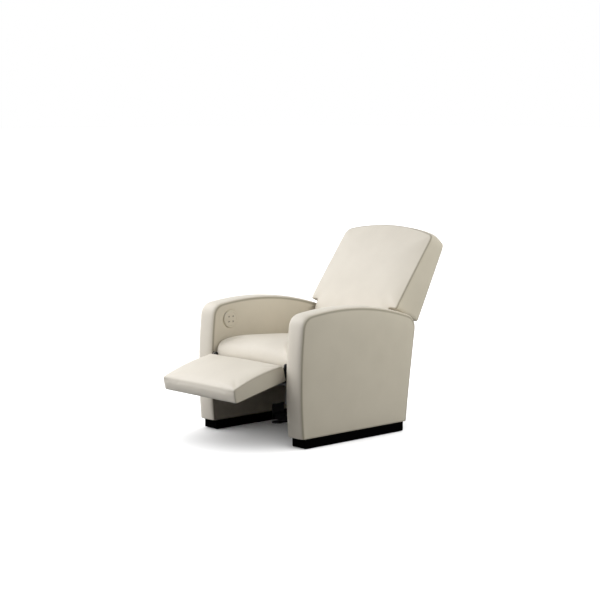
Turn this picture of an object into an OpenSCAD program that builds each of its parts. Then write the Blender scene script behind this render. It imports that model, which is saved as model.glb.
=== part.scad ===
// Powered cinema recliner seat: two upholstered slab arms on low plinths carry a seat cushion,
// a legrest flap and a reclining back between them. Modelled open, as when someone lies back in it.
// Origin: centre of the four floor bolts, at floor level. +X is the sitter's left, +Y the rear, +Z up.

/* [Overall] */
// Clear width between the inner faces of the two arms
seat_gap = 566; // [520:1:640]
// Width of one arm
arm_w = 107; // [95:1:130]
// Depth of an arm along its bottom edge
arm_depth = 720; // [690:1:760]
// Height of the arm's side seam above the floor, at its highest
arm_h = 666; // [650:1:690]
// Height of the black plinth under each arm
plinth_h = 52; // [40:1:60]

/* [Arm] */
// How far the front edge bows forward of a straight line
arm_front_bow = 18; // [8:1:26]
// How far the rear top corner overhangs the rear bottom corner
arm_rear_lean = 70; // [30:1:90]
// How far the front top corner lies below the highest point
arm_front_drop = 24; // [16:1:34]
// How far the rear top corner lies below the highest point
arm_rear_drop = 91; // [70:1:110]
// Height of the top arch over the straight line between its two corners
arm_top_bow = 52; // [44:1:60]
// Length of edge taken up by the rounding of the front top corner
arm_front_round = 50; // [30:1:60]
// Length of edge taken up by the rounding of the rear top corner
arm_rear_round = 62; // [30:1:80]
// How far the soft band stands proud of the side seams at its middle
arm_crown = 8; // [2:1:14]
// Foam and leather over the front, top and rear of the arm frame
arm_pad_t = 20; // [12:1:30]
// Foam and leather over the sides of the arm frame
arm_side_t = 12; // [6:1:18]
// Depth of the rails of the arm frame
arm_rail = 42; // [30:1:55]

/* [Seat] */
// Height of the seat deck's underside above the floor
deck_z = 380; // [375:1:390]
// Gap between an arm and the side of a cushion
side_gap = 11; // [10:0.5:14]
// Height of the seat cushion's front edge above the deck's underside
seat_front_h = 103; // [90:1:120]
// Height of the seat cushion's rear edge above the deck's underside
seat_rear_h = 66; // [55:1:80]
// Crown of the seat cushion across its width
seat_crown = 12; // [4:1:18]
// Distance of the seat cushion's front from the front of the arms
seat_front_y = 18; // [16:1:26]
// Distance of the seat cushion's rear from the front of the arms
seat_rear_y = 590; // [570:1:592]

/* [Legrest] */
// Distance of the legrest pivot behind the front of the arms
leg_pivot_y = 3; // [0:0.5:4]
// Height of the legrest pivot above the floor
leg_pivot_z = 399; // [397:1:404]
// Slope of the opened legrest, in degrees below level
leg_tilt = 13; // [8:1:16]
// Length of the legrest pad
leg_len = 329; // [300:1:336]
// Thickness of the pad at its front edge
leg_front_t = 70; // [60:1:76]
// Thickness of the pad at its rear edge
leg_rear_t = 84; // [76:1:88]
// Bow of the pad's top along its length
leg_bow = 11; // [4:1:14]
// Crown of the pad's top across its width
leg_crown = 7; // [2:1:10]

/* [Back] */
// Distance of the back pivot behind the front of the arms
back_pivot_y = 600; // [596:1:606]
// Height of the back pivot above the floor
back_pivot_z = 400; // [398:1:404]
// Lean of the back's rear face from upright, in degrees, when reclined
back_lean = 27; // [24:1:28]
// Overlap of the back's upper part over each arm
back_wing = 37; // [30:1:46]
// Distance from the pivot to the back's rear face
back_rear_d = 183; // [180:1:188]
// Thickness of the back cushion at the lumbar, where it is thickest
back_low_t = 198; // [192:1:200]
// Thickness of the back cushion at its top edge
back_high_t = 110; // [100:1:124]
// Height of the back's highest point above the pivot, along the back
back_top_h = 746; // [710:1:770]
// Radius of the arch along the back's top edge
back_arch_r = 1090; // [900:10:1400]
// Height above the pivot at which the upper part widens over the arms
back_notch_h = 254; // [252:1:262]
// Crown of the back's front panel across its width
back_crown = 12; // [4:1:18]

/* [Base and frames] */
// Distance of the base's middle behind the front of the arms
base_mid = 540; // [530:1:550]
// Distance between the two base rails, centre to centre
rail_spacing = 200; // [190:1:210]
// Distance between the floor bolts across the seat
bolt_x = 440; // [400:1:460]
// Distance between the floor bolts front to rear
bolt_y = 284; // [280:1:290]
// Diameter of the floor bolt holes
bolt_hole_d = 11; // [9:0.5:13]
// Size of the square tube in the seat and back frames
tube = 30; // [25:1:32]
// Wall of the square tube
tube_wall = 2; // [1.5:0.5:3]
// Thickness of the steel side plates and hinge plates
plate_t = 4; // [3:0.5:4.5]

/* [Controls] */
// Diameter of the round control module
module_d = 88; // [76:1:96]
// Distance of the module's centre behind the front of the arms
module_y = 112; // [100:1:124]
// Height of the module's centre above the floor
module_z = 570; // [560:1:576]
// Diameter of one push button
button_d = 15; // [12:0.5:17]
// Distance between neighbouring buttons, centre to centre
button_pitch = 27; // [22:0.5:30]

/* [Hidden] */
$fn = 48;

// Overrun of every cut past the face that it opens
over = 1;
// Play between a shaft and its hole, on the radius
run_fit = 0.05;
// Gap between two pieces that slide past each other
slip = 0.5;

leather = [0.89, 0.87, 0.82];
leather_back = [0.84, 0.82, 0.76];
black = [0.08, 0.08, 0.08];
steel = [0.30, 0.31, 0.33];
zinc = [0.62, 0.64, 0.66];
plywood = [0.72, 0.58, 0.40];
nylon = [0.85, 0.84, 0.80];
aluminium = [0.70, 0.71, 0.73];

front = -base_mid;
inner_x = seat_gap / 2;
outer_x = inner_x + arm_w;
pad_x = inner_x - side_gap;

// A place given as its distance behind the front of the arms and its height
function at(depth, height) = [front + depth, height];
// A place moved along a direction given by its angle in the side view
function polar(p, r, a) = p + r * [cos(a), sin(a)];
// Smooth step from 0 to 1
function ease(t) = let (s = min(max(t, 0), 1)) s * s * (3 - 2 * s);

// Points of a shallow bow from p to q that stands to the left of the way from p to q.
// It starts and ends trim_p and trim_q short of the two ends.
function bow(p, q, rise, trim_p, trim_q, steps) =
    let (d = q - p, l = norm(d), n = [-d.y, d.x] / l, a = trim_p / l, b = 1 - trim_q / l)
    [for (i = [0:steps]) let (t = a + (b - a) * i / steps) p + d * t + n * 4 * rise * t * (1 - t)];
// Points of a soft corner from p to q drawn towards the sharp corner c, without its two ends
function soft_corner(p, c, q, steps) =
    [for (i = [1:steps - 1]) let (t = i / steps) (1 - t) * (1 - t) * p + 2 * t * (1 - t) * c + t * t * q];
// Last point of a list
function last(list) = list[len(list) - 1];

// Closed solid through a row of rings, all with the same even number of points. Seen from behind
// the first ring, looking along the row, the points run anticlockwise.
module loft(rings) {
    n = len(rings[0]);
    m = len(rings);
    walls = [for (i = [0:m - 2]) for (j = [0:n - 1]) let (k = (j + 1) % n)
        each [[i * n + j, (i + 1) * n + k, (i + 1) * n + j], [i * n + j, i * n + k, (i + 1) * n + k]]];
    caps = [for (j = [0:n / 2 - 2]) let (a = j, b = j + 1, c = n - 2 - j, d = n - 1 - j, t = (m - 1) * n)
        each [[a, c, b], [a, d, c], [t + a, t + b, t + c], [t + a, t + c, t + d]]];
    polyhedron(points = [for (r = rings) each r], faces = concat(walls, caps));
}
// Flat plate lying in the side view, from x0 and t thick
module side_slab(x0, t) {
    translate([x0, 0, 0]) rotate([90, 0, 90]) linear_extrude(t) children();
}
// Round bar across the seat, from x0 and l long, at a place in the side view
module bar_x(p, r, x0, l) {
    translate([x0, p.x, p.y]) rotate([0, 90, 0]) cylinder(r = r, h = l);
}
// Bar from a to b in the side view, w wide, as a flat outline
module strap(a, b, w) {
    translate(a) rotate(atan2(b.y - a.y, b.x - a.x)) translate([0, -w / 2]) square([norm(b - a), w]);
}
// The two sides of the seat: as drawn for the sitter's left, and mirrored
module mirrored() {
    mirror([1, 0, 0]) children();
}
module both_sides() {
    children();
    mirrored() children();
}

// Arm

arm_front_lean = 12;
arm_foot_back = 2;
// Side outline of the arm, shrunk by inset all round except along its bottom
function arm_outline(inset) = let (
    a = at(arm_foot_back + inset, plinth_h),
    b = at(arm_front_lean + inset, arm_h - arm_front_drop - inset),
    c = at(arm_depth + arm_rear_lean - inset, arm_h - arm_rear_drop - inset),
    d = at(arm_depth - inset, plinth_h),
    rise = bow(a, b, arm_front_bow, 0, arm_front_round, 7),
    top = bow(b, c, arm_top_bow, arm_front_round, arm_rear_round, 12),
    fall = bow(c, d, 0, arm_rear_round, 0, 2))
    concat(rise, soft_corner(last(rise), b, top[0], 5), top, soft_corner(last(top), c, fall[0], 5), fall);

cover_shares = [0, 0.03, 0.12, 0.28, 0.5, 0.72, 0.88, 0.97, 1];
cover_edge = 3;
// How far the band stands proud of the side seams at a share of the arm's width
function arm_proud(u) = arm_crown * (1 - pow(2 * u - 1, 2)) - (u == 0 || u == 1 ? cover_edge : 0);

leg_pivot = at(leg_pivot_y, leg_pivot_z);
back_pivot = at(back_pivot_y, back_pivot_z);

leg_pin_r = 6;
leg_neck_r = 5;
leg_bush_r = 9;
back_pin_r = 8;
back_neck_r = 7;
back_bush_r = 13;
bush_flange = 1;
bush_flange_w = 3;
leg_bush_l = 8;
back_bush_l = 26;

arm_bolt_r = 4;
arm_bolt_l = 60;
arm_bolt_head_r = 6.5;
arm_bolt_head_t = 5;
arm_bolt_z = 337;
arm_bolt_shares = [0.245, 0.515, 0.825];
arm_bolt_depths = arm_depth * arm_bolt_shares;

module_flange = 6;
module_cup_r = module_d / 2 - module_flange;
module_cup_l = 38;
module_seat = 3;

// Holes in the arm for the bushes of the side plate and for all bolts, loose by play all round
module arm_holes(play) {
    bar_x(leg_pivot, leg_bush_r + play, inner_x - over, leg_bush_l - plate_t + play + over);
    bar_x(back_pivot, back_bush_r + play, inner_x - over, back_bush_l - plate_t + play + over);
    for (d = arm_bolt_depths)
        bar_x(at(d, arm_bolt_z), arm_bolt_r + play, inner_x - over, arm_bolt_l + play + over);
    for (p = rail_bolt_places) bar_x(p, arm_bolt_r + play, inner_x - over, arm_bolt_l + play + over);
}
module arm_frame() {
    x0 = inner_x + arm_side_t;
    w = arm_w - 2 * arm_side_t;
    bay_shares = [[0.00, 0.22], [0.27, 0.49], [0.54, 0.76], [0.89, 1.12]];
    color(plywood) difference() {
        side_slab(x0, w) polygon(arm_outline(arm_pad_t));
        side_slab(x0 - over, w + 2 * over) for (bay = bay_shares) intersection() {
            polygon([for (p = arm_outline(arm_pad_t + arm_rail)) [p.x, max(p.y, plinth_h + arm_rail)]]);
            translate([front + arm_depth * bay[0], 0])
                square([arm_depth * (bay[1] - bay[0]), arm_h]);
        }
        arm_holes(slip);
        for (d = plinth_screw_depths) plinth_screw(d, run_fit);
    }
}
module arm_cover() {
    color(leather) difference() {
        loft([for (u = cover_shares)
            [for (p = arm_outline(-arm_proud(u))) [inner_x + arm_w * u, p.x, p.y]]]);
        side_slab(inner_x + arm_side_t, arm_w - 2 * arm_side_t)
            polygon([for (p = arm_outline(arm_pad_t)) [p.x, p.y > plinth_h + over ? p.y : plinth_h - over]]);
        arm_holes(slip);
    }
}
module left_arm_frame() arm_frame();
module right_arm_frame() {
    color(plywood) difference() {
        mirrored() arm_frame();
        control_pocket(slip);
    }
}
module left_arm_cover() arm_cover();
module right_arm_cover() {
    color(leather) difference() {
        mirrored() arm_cover();
        control_pocket(slip);
    }
}

// Plinths, glides and screws

plinth_front = 22;
plinth_rear = 14;
plinth_in = 8;
plinth_out = 7;
plinth_r = 6;
glide_t = 3;
glide_r = 16;
glide_stem_r = 4;
glide_stem_l = 18;
glide_shares = [0.1, 0.5, 0.91];
glide_depths = arm_depth * glide_shares;
plinth_screw_r = 3;
plinth_screw_head_r = 6;
plinth_screw_head_t = 4;
plinth_screw_l = 62;
plinth_screw_shares = [0.22, 0.5, 0.78];
plinth_screw_depths = arm_depth * plinth_screw_shares;
plinth_mid_x = (inner_x + plinth_in + outer_x - plinth_out) / 2;
glide_off = 22;
glide_mid_x = plinth_mid_x + glide_off;

module plinth_screw(depth, play) {
    translate([plinth_mid_x, front + depth, plinth_h - plinth_screw_l / 2]) {
        cylinder(r = plinth_screw_r + play, h = plinth_screw_l + play);
        translate([0, 0, -play]) cylinder(r = plinth_screw_head_r + play, h = plinth_screw_head_t + play);
    }
}
module plinth() {
    a = at(plinth_front, glide_t);
    b = at(arm_depth - plinth_rear, plinth_h);
    x0 = inner_x + plinth_in;
    w = arm_w - plinth_in - plinth_out;
    color(black) difference() {
        side_slab(x0, w) union() {
            translate(a + [plinth_r, 0]) square(b - a - [2 * plinth_r, 0]);
            translate(a + [0, plinth_r]) square(b - a - [0, plinth_r]);
            for (y = [a.x + plinth_r, b.x - plinth_r]) translate([y, a.y + plinth_r]) circle(plinth_r);
        }
        for (d = plinth_screw_depths) {
            plinth_screw(d, run_fit);
            translate([plinth_mid_x, front + d, 0])
                cylinder(r = plinth_screw_head_r + slip, h = plinth_h - plinth_screw_l / 2 + over);
        }
        for (d = glide_depths) translate([glide_mid_x, front + d, 0])
            cylinder(r = glide_stem_r + run_fit, h = glide_t + glide_stem_l + over);
    }
}
module left_plinth() plinth();
module right_plinth() mirrored() plinth();
module floor_glides() {
    color(nylon) both_sides() for (d = glide_depths) translate([glide_mid_x, front + d, 0]) {
        cylinder(r = glide_r, h = glide_t);
        cylinder(r = glide_stem_r, h = glide_t + glide_stem_l);
    }
}
module plinth_screws() {
    color(zinc) both_sides() for (d = plinth_screw_depths) plinth_screw(d, 0);
}

// Base rails with their floor plates

rail_w = 50;
rail_z = 6;
rail_t = 34;
rail_wall = 2.5;
foot_w = 60;
foot_back = 12;
rail_flange_w = 84;
rail_flange_h = 84;
rail_flange_t = 5;
// Places of the bolts that hold the ends of the base rails
rail_bolt_places = [for (e = [-1, 1]) for (s = [-1, 1])
    [e * rail_spacing / 2 + s * rail_flange_w / 3, rail_z + rail_flange_h - foot_back]];

// Base rail seen from the front rail's place; the rear rail is its mirror image
module base_rail() {
    y0 = -rail_spacing / 2 - rail_w / 2;
    foot_y = -bolt_y / 2;
    color(steel) difference() {
        union() {
            difference() {
                translate([-inner_x + rail_flange_t, y0, rail_z])
                    cube([seat_gap - 2 * rail_flange_t, rail_w, rail_t]);
                translate([-inner_x, y0 + rail_wall, rail_z + rail_wall])
                    cube([seat_gap, rail_w - 2 * rail_wall, rail_t - 2 * rail_wall]);
            }
            both_sides() translate([inner_x - rail_flange_t, -rail_spacing / 2 - rail_flange_w / 2, rail_z])
                cube([rail_flange_t, rail_flange_w, rail_flange_h]);
            both_sides() translate([bolt_x / 2 - foot_w / 2, foot_y - foot_w / 4, 0])
                cube([foot_w, foot_w / 4 - foot_y - rail_spacing / 2 + rail_w / 2, rail_z]);
            both_sides() translate([bolt_x / 2, foot_y - foot_w / 4, 0]) cylinder(d = foot_w, h = rail_z);
        }
        both_sides() translate([bolt_x / 2, foot_y, -over]) cylinder(d = bolt_hole_d, h = rail_z + 2 * over);
        both_sides() for (p = rail_bolt_places)
            bar_x(p, arm_bolt_r + slip, inner_x - rail_flange_t - over, rail_flange_t + 2 * over);
    }
}
module front_base_rail() base_rail();
module rear_base_rail() mirror([0, 1, 0]) base_rail();

// Steel side plates with the bushes for both pivots, bolted through the leather into the arm frames

side_plate_low = 322;
side_plate_x = inner_x - plate_t;
leg_boss_r = 13;
back_boss_r = 24;
slot_r = 11;
slot_l = 60;

module side_plate() {
    nose = at(leg_pivot_y + leg_boss_r * 2, deck_z);
    tail = at(back_pivot_y, deck_z);
    color(steel) difference() {
        side_slab(side_plate_x, plate_t) difference() {
            union() {
                polygon([
                    leg_pivot + [-leg_boss_r, 0], leg_pivot + [leg_boss_r, 0], nose,
                    tail - [back_boss_r, 0], back_pivot - [back_boss_r, 0], back_pivot + [back_boss_r, 0],
                    at(back_pivot_y + back_boss_r, side_plate_low), at(arm_bolt_depths[0], side_plate_low),
                    at(leg_pivot_y + leg_boss_r * 2, deck_z - leg_boss_r * 2)
                ]);
                translate(leg_pivot) circle(leg_boss_r);
                translate(back_pivot) circle(back_boss_r);
            }
            for (i = [0:len(arm_bolt_depths) - 2]) {
                mid = (arm_bolt_depths[i] + arm_bolt_depths[i + 1]) / 2;
                strap(at(mid - slot_l / 2, arm_bolt_z), at(mid + slot_l / 2, arm_bolt_z), slot_r);
            }
        }
        bar_x(leg_pivot, leg_bush_r, side_plate_x - over, plate_t + 2 * over);
        bar_x(back_pivot, back_bush_r, side_plate_x - over, plate_t + 2 * over);
        for (d = arm_bolt_depths)
            bar_x(at(d, arm_bolt_z), arm_bolt_r + slip, side_plate_x - over, plate_t + 2 * over);
    }
}
module left_side_plate() side_plate();
module right_side_plate() mirrored() side_plate();

// Flanged bush in the side plate
module bush(p, r, bore, l) {
    color(nylon) difference() {
        union() {
            bar_x(p, r, side_plate_x, l);
            bar_x(p, r + bush_flange_w, side_plate_x - bush_flange, bush_flange);
        }
        bar_x(p, bore + run_fit, side_plate_x - bush_flange - over, l + bush_flange + 2 * over);
    }
}
module leg_bush() bush(leg_pivot, leg_bush_r, leg_pin_r, leg_bush_l);
module back_bush() bush(back_pivot, back_bush_r, back_pin_r, back_bush_l);
module left_leg_bush() leg_bush();
module right_leg_bush() mirrored() leg_bush();
module left_back_bush() back_bush();
module right_back_bush() mirrored() back_bush();

module hex_bolt(p, x0, l) {
    bar_x(p, arm_bolt_r, x0, l);
    translate([x0 - arm_bolt_head_t, p.x, p.y]) rotate([0, 90, 0])
        cylinder(r = arm_bolt_head_r, h = arm_bolt_head_t, $fn = 6);
}
module arm_bolts() {
    color(zinc) both_sides() {
        for (d = arm_bolt_depths) hex_bolt(at(d, arm_bolt_z), side_plate_x, arm_bolt_l);
        for (p = rail_bolt_places) hex_bolt(p, inner_x - rail_flange_t, arm_bolt_l);
    }
}

// Seat frame, deck, springs and cushion

frame_front = 120;
frame_rear = 575;
deck_t = 18;
deck_front = 34;
deck_rear = 582;
deck_inset = 12;
deck_x = pad_x - deck_inset;
deck_rim = 46;
wire_r = 2;
spring_rows = 4;
spring_bars = 16;
spring_swing = 22;
spring_span_x = 340;
leg_arm_reach = 72;
leg_arm_rise = 24;

// Square tube along X, from a corner
module tube_x(p, l) {
    translate(p) difference() {
        cube([l, tube, tube]);
        translate([-over, tube_wall, tube_wall])
            cube([l + 2 * over, tube - 2 * tube_wall, tube - 2 * tube_wall]);
    }
}
// Square tube along Y, from a corner
module tube_y(p, l) {
    translate(p) difference() {
        cube([tube, l, tube]);
        translate([tube_wall, -over, tube_wall])
            cube([tube - 2 * tube_wall, l + 2 * over, tube - 2 * tube_wall]);
    }
}
module seat_frame() {
    z = deck_z - tube;
    cross = 2 * (side_plate_x - tube);
    color(steel) {
        for (d = [frame_front, frame_rear - tube]) tube_x([-cross / 2, front + d, z], cross);
        both_sides() tube_y([side_plate_x - tube, front + frame_front, z], frame_rear - frame_front);
    }
}
module seat_deck() {
    l = deck_rear - deck_front;
    color(plywood) difference() {
        translate([-deck_x, front + deck_front, deck_z]) cube([2 * deck_x, l, deck_t]);
        translate([-deck_x + deck_rim, front + deck_front + deck_rim, deck_z - over])
            cube([2 * (deck_x - deck_rim), l - 2 * deck_rim, deck_t + 2 * over]);
    }
}
spring_y0 = deck_front + deck_rim / 2;
spring_pitch = (deck_rear - deck_rim / 2 - spring_y0) / (spring_bars - 1);
spring_z = deck_z + deck_t + wire_r;
spring_turns = 6;
spring_sides = 6;
// Ring of the spring wire on the half turn after bar j, at a share of the turn, shifted along X
function spring_ring(x, j, share, shift) = let (
    side = j % 2 == 0 ? 1 : -1,
    out = [side * sin(180 * share), -cos(180 * share)],
    centre = [x + side * spring_swing + shift, front + spring_y0 + (j + 0.5) * spring_pitch])
    [for (k = [0:spring_sides - 1]) let (turn = 360 * k / spring_sides,
        p = centre + out * (spring_pitch / 2 + side * wire_r * cos(turn)))
        [p.x, p.y, spring_z + wire_r * sin(turn)]];
module seat_springs() {
    last_turn = spring_bars - 2;
    color(steel) for (i = [0:spring_rows - 1]) {
        x = spring_span_x * (i / (spring_rows - 1) - 0.5);
        loft(concat(
            [spring_ring(x, 0, 0, -2 * spring_swing)],
            [for (j = [0:last_turn]) for (k = [0:spring_turns]) spring_ring(x, j, k / spring_turns, 0)],
            [spring_ring(x, last_turn, 1, -2 * spring_swing)]));
    }
}
clip_w = 16;
clip_l = 14;
clip_t = 1.5;
module spring_clips() {
    color(zinc) for (i = [0:spring_rows - 1]) for (j = [0, spring_bars - 1]) {
        x = spring_span_x * (i / (spring_rows - 1) - 0.5);
        y = front + spring_y0 + j * spring_pitch;
        difference() {
            translate([x - clip_w / 2, y - clip_l / 2, deck_z + deck_t])
                cube([clip_w, clip_l, 2 * wire_r + clip_t]);
            translate([x - clip_w / 2 - over, y, spring_z]) rotate([0, 90, 0])
                cylinder(r = wire_r + run_fit, h = clip_w + 2 * over);
            translate([x - clip_w / 2 - over, y - wire_r - run_fit, deck_z + deck_t - over])
                cube([clip_w + 2 * over, 2 * (wire_r + run_fit), wire_r + over]);
        }
    }
}
pad_shares = [0, 0.012, 0.05, 0.14, 0.3, 0.5, 0.7, 0.86, 0.95, 0.988, 1];
pad_edge = 5;
// Crown of a cushion across its width, with a rounded edge at the side seams
function pad_rise(u, crown) = crown * (1 - pow(2 * u - 1, 2)) - (u == 0 || u == 1 ? pad_edge : 0);
seat_foot_back = 2;
seat_nose_h = 88;
seat_nose_l = 108;
seat_rear_round = 26;
seat_bow = 5;
function seat_outline(rise) = let (
    a = at(seat_front_y + seat_foot_back, deck_z),
    b = at(seat_front_y, deck_z + seat_front_h + rise),
    c = at(seat_rear_y, deck_z + seat_rear_h + rise),
    d = at(seat_rear_y, deck_z),
    up = bow(a, b, 0, 0, seat_nose_h, 2),
    top = bow(b, c, seat_bow + rise / 3, seat_nose_l, seat_rear_round, 8),
    down = bow(c, d, 0, seat_rear_round, 0, 2))
    concat(up, soft_corner(last(up), b, top[0], 9), top, soft_corner(last(top), c, down[0], 4), down);
module seat_cushion() {
    color(leather) difference() {
        loft([for (u = pad_shares)
            [for (p = seat_outline(pad_rise(u, seat_crown))) [pad_x * (2 * u - 1), p.x, p.y]]]);
        translate([-deck_x, front + deck_front, deck_z - over])
            cube([2 * deck_x, deck_rear - deck_front, over + deck_t + 2 * wire_r + clip_t]);
        both_sides() translate([deck_x - over, front, deck_z - over])
            cube([leg_arm_x + leg_arm_t + slip / 2 - deck_x + over, leg_arm_reach, leg_arm_rise + over]);
    }
}

// Rear valance with the power inlet, and the control box on the rear base rail

valance_y = 700;
valance_t = 12;
valance_low = 58;
valance_high = 300;
inlet_x = 190;
inlet_z = 96;
inlet_w = 48;
inlet_h = 32;
inlet_l = 30;
inlet_lip = 3;
box_w = 130;
box_l = 46;
box_h = 40;
box_x = 120;
box_r = 5;

module rear_valance() {
    y = front + valance_y;
    color(black) difference() {
        translate([-inner_x, y, valance_low]) cube([seat_gap, valance_t, valance_high - valance_low]);
        translate([inlet_x - inlet_w / 2, y - over, inlet_z - inlet_h / 2])
            cube([inlet_w, valance_t + 2 * over, inlet_h]);
    }
}
module power_inlet() {
    y = front + valance_y;
    lip = inlet_lip;
    color(black) difference() {
        union() {
            translate([inlet_x - inlet_w / 2, y + valance_t - inlet_l, inlet_z - inlet_h / 2])
                cube([inlet_w, inlet_l, inlet_h]);
            translate([inlet_x - inlet_w / 2 - lip, y + valance_t, inlet_z - inlet_h / 2 - lip])
                cube([inlet_w + 2 * lip, lip, inlet_h + 2 * lip]);
        }
        translate([inlet_x, y + valance_t - inlet_l / 2, inlet_z])
            translate([2 * lip - inlet_w / 2, 0, 2 * lip - inlet_h / 2])
                cube([inlet_w - 4 * lip, inlet_l, inlet_h - 4 * lip]);
    }
    color(zinc) for (i = [-1, 0, 1])
        translate([inlet_x + i * inlet_w / 6 - lip / 2, y + valance_t - inlet_l / 2 - over, inlet_z - lip])
            cube([lip, inlet_l / 3, 2 * lip]);
}
module control_box() {
    z = rail_z + rail_t;
    color(black) difference() {
        translate([box_x - box_w / 2, rail_spacing / 2 - box_l / 2, z]) union() {
            translate([box_r, box_r, 0]) cube([box_w - 2 * box_r, box_l - 2 * box_r, box_h]);
            for (x = [box_r, box_w - box_r]) for (y = [box_r, box_l - box_r])
                translate([x, y, 0]) cylinder(r = box_r, h = box_h);
            translate([box_r, 0, 0]) cube([box_w - 2 * box_r, box_l, box_h]);
            translate([0, box_r, 0]) cube([box_w, box_l - 2 * box_r, box_h]);
        }
        for (i = [-2:2]) translate([box_x + i * box_w / 8 - box_r / 4, rail_spacing / 2 - box_l / 4, z])
            translate([0, 0, box_h - box_r / 2]) cube([box_r / 2, box_l / 2, box_r]);
    }
}

// Round control module in the inner face of the sitter's right arm

face_t = 4;
groove_w = 2.5;
housing_wall = 2.5;
button_proud = 1.5;
button_l = 9.6;
button_rim = 1.2;
button_places = [
    [module_y - button_pitch / 2, module_z + button_pitch / 2],
    [module_y + button_pitch / 2, module_z + button_pitch / 2],
    [module_y - button_pitch / 2, module_z - button_pitch / 2],
    [module_y + button_pitch / 2, module_z - button_pitch / 2]
];
module_at = at(module_y, module_z);

// Pocket in the sitter's right arm for the module
module control_pocket(play) {
    bar_x(module_at, module_cup_r + play, -inner_x - module_cup_l - play, module_cup_l + play + over);
    bar_x(module_at, module_d / 2 + play, -inner_x - module_seat, module_seat + over);
}
module control_housing() {
    color(leather) difference() {
        union() {
            bar_x(module_at, module_cup_r, -inner_x - module_cup_l, module_cup_l);
            bar_x(module_at, module_d / 2, -inner_x - module_seat, module_seat + over);
        }
        bar_x(module_at, module_cup_r - housing_wall,
            -inner_x - module_cup_l + housing_wall, module_cup_l + 2 * over);
    }
}
module control_face() {
    r = module_cup_r - housing_wall - groove_w;
    x0 = -inner_x - face_t + over;
    color(leather) difference() {
        union() {
            bar_x(module_at, r, x0, face_t);
            bar_x(module_at, module_cup_r - housing_wall, x0 - face_t, face_t);
        }
        for (b = button_places)
            bar_x(at(b.x, b.y), button_d / 2 + slip / 2, x0 - face_t - over, 2 * face_t + 2 * over);
    }
}
module button(b) {
    x1 = -inner_x + over + button_proud;
    color(leather_back) {
        bar_x(at(b.x, b.y), button_d / 2, x1 - button_l, button_l);
        bar_x(at(b.x, b.y), button_d / 2 + button_rim, x1 - button_l - button_rim, button_rim);
    }
}
module button_front_upper() button(button_places[0]);
module button_rear_upper() button(button_places[1]);
module button_front_lower() button(button_places[2]);
module button_rear_lower() button(button_places[3]);

// Legrest, drawn about its pivot: local -Y runs forward along the pad, local Z stands off its face

leg_back = 20.4;
leg_low = 67.9;
board_t = 15;
board_margin = 14;
leg_arm_t = 5;
leg_arm_inset = 10;
leg_arm_x = pad_x - leg_arm_inset;
leg_arm_l = 120;
drive_x = -90;
drive_s = 81;
drive_t = 42;
cheek_gap = 23;
cheek_t = 5;
rod_pin_r = 5;
window_w = 26;
window_run = 23;
window_seat = 0.3;

module at_legrest() {
    translate([0, leg_pivot.x, leg_pivot.y]) rotate([leg_tilt, 0, 0]) children();
}
// A place on the legrest, s forward of the pad's rear end and t above its underside
function leg_place(s, t) = [-leg_back - s, t - leg_low];

leg_rear_round = 26;
leg_front_round = 9;
function leg_outline(rise) = let (
    a = leg_place(leg_len, 0),
    b = leg_place(leg_len, leg_front_t + rise / 2),
    c = leg_place(0, leg_rear_t + rise),
    d = leg_place(0, 0),
    up = bow(a, b, 0, 0, leg_front_round, 1),
    top = bow(b, c, leg_bow, leg_front_round, leg_rear_round, 10),
    down = bow(c, d, 0, leg_rear_round, 0, 2))
    concat(up, soft_corner(last(up), b, top[0], 4), top, soft_corner(last(top), c, down[0], 6), down);

// Slots in the pad for the two legrest arms
module leg_arm_slots() {
    for (s = [-1, 1]) translate([s * (leg_arm_x + leg_arm_t / 2) - leg_arm_t / 2 - slip / 2, 0, 0])
        translate([0, leg_place(leg_arm_l + slip, 0).x, leg_place(0, 0).y - over])
            cube([leg_arm_t + slip, leg_arm_l + 2 * leg_rear_round, leg_rear_t]);
}
module legrest_pad() {
    board = leg_place(leg_len - board_margin, 0);
    color(leather) at_legrest() difference() {
        loft([for (u = pad_shares)
            [for (p = leg_outline(pad_rise(u, leg_crown))) [pad_x * (2 * u - 1), p.x, p.y]]]);
        translate([-leg_arm_x, board.x, board.y - over])
            cube([2 * leg_arm_x, leg_len - 2 * board_margin, board_t + over]);
        leg_arm_slots();
    }
}
module legrest_board() {
    board = leg_place(leg_len - board_margin, 0);
    color(plywood) at_legrest()
        translate([-leg_arm_x, board.x, board.y]) cube([2 * leg_arm_x, leg_len - 2 * board_margin, board_t]);
}
leg_arm_h = 26;
leg_eye_r = 11;
// Flat steel arm from the end of the board up to the pivot
module legrest_arm() {
    low = leg_place(leg_arm_l, 0);
    heel = leg_place(0, 0);
    color(steel) at_legrest() difference() {
        side_slab(leg_arm_x, leg_arm_t) union() {
            polygon([low, heel, [leg_eye_r, 0], [-leg_eye_r, 0],
                heel + [-leg_arm_h, leg_arm_h], low + [0, board_t]]);
            circle(leg_eye_r);
        }
        bar_x([0, 0], leg_neck_r, leg_arm_x - over, leg_arm_t + 2 * over);
    }
}
module left_legrest_arm() legrest_arm();
module right_legrest_arm() mirrored() legrest_arm();
// Shouldered pins, riveted through the legrest arms
module legrest_pivot_pins() {
    outer = side_plate_x + leg_bush_l - slip;
    color(zinc) both_sides() at_legrest() {
        bar_x([0, 0], leg_pin_r, leg_arm_x + leg_arm_t, outer - leg_arm_x - leg_arm_t);
        bar_x([0, 0], leg_neck_r, leg_arm_x, leg_arm_t);
    }
}

drive_place = leg_place(drive_s, -drive_t);
drive_out = drive_place / norm(drive_place);
window_r = window_w / 2;
window_a = drive_place - drive_out * (window_r - rod_pin_r - window_seat);
window_b = window_a - drive_out * window_run;
drive_wall = 9;
drive_relief = 24;
drive_foot_front = 26;
drive_foot_rear = 66;

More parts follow.
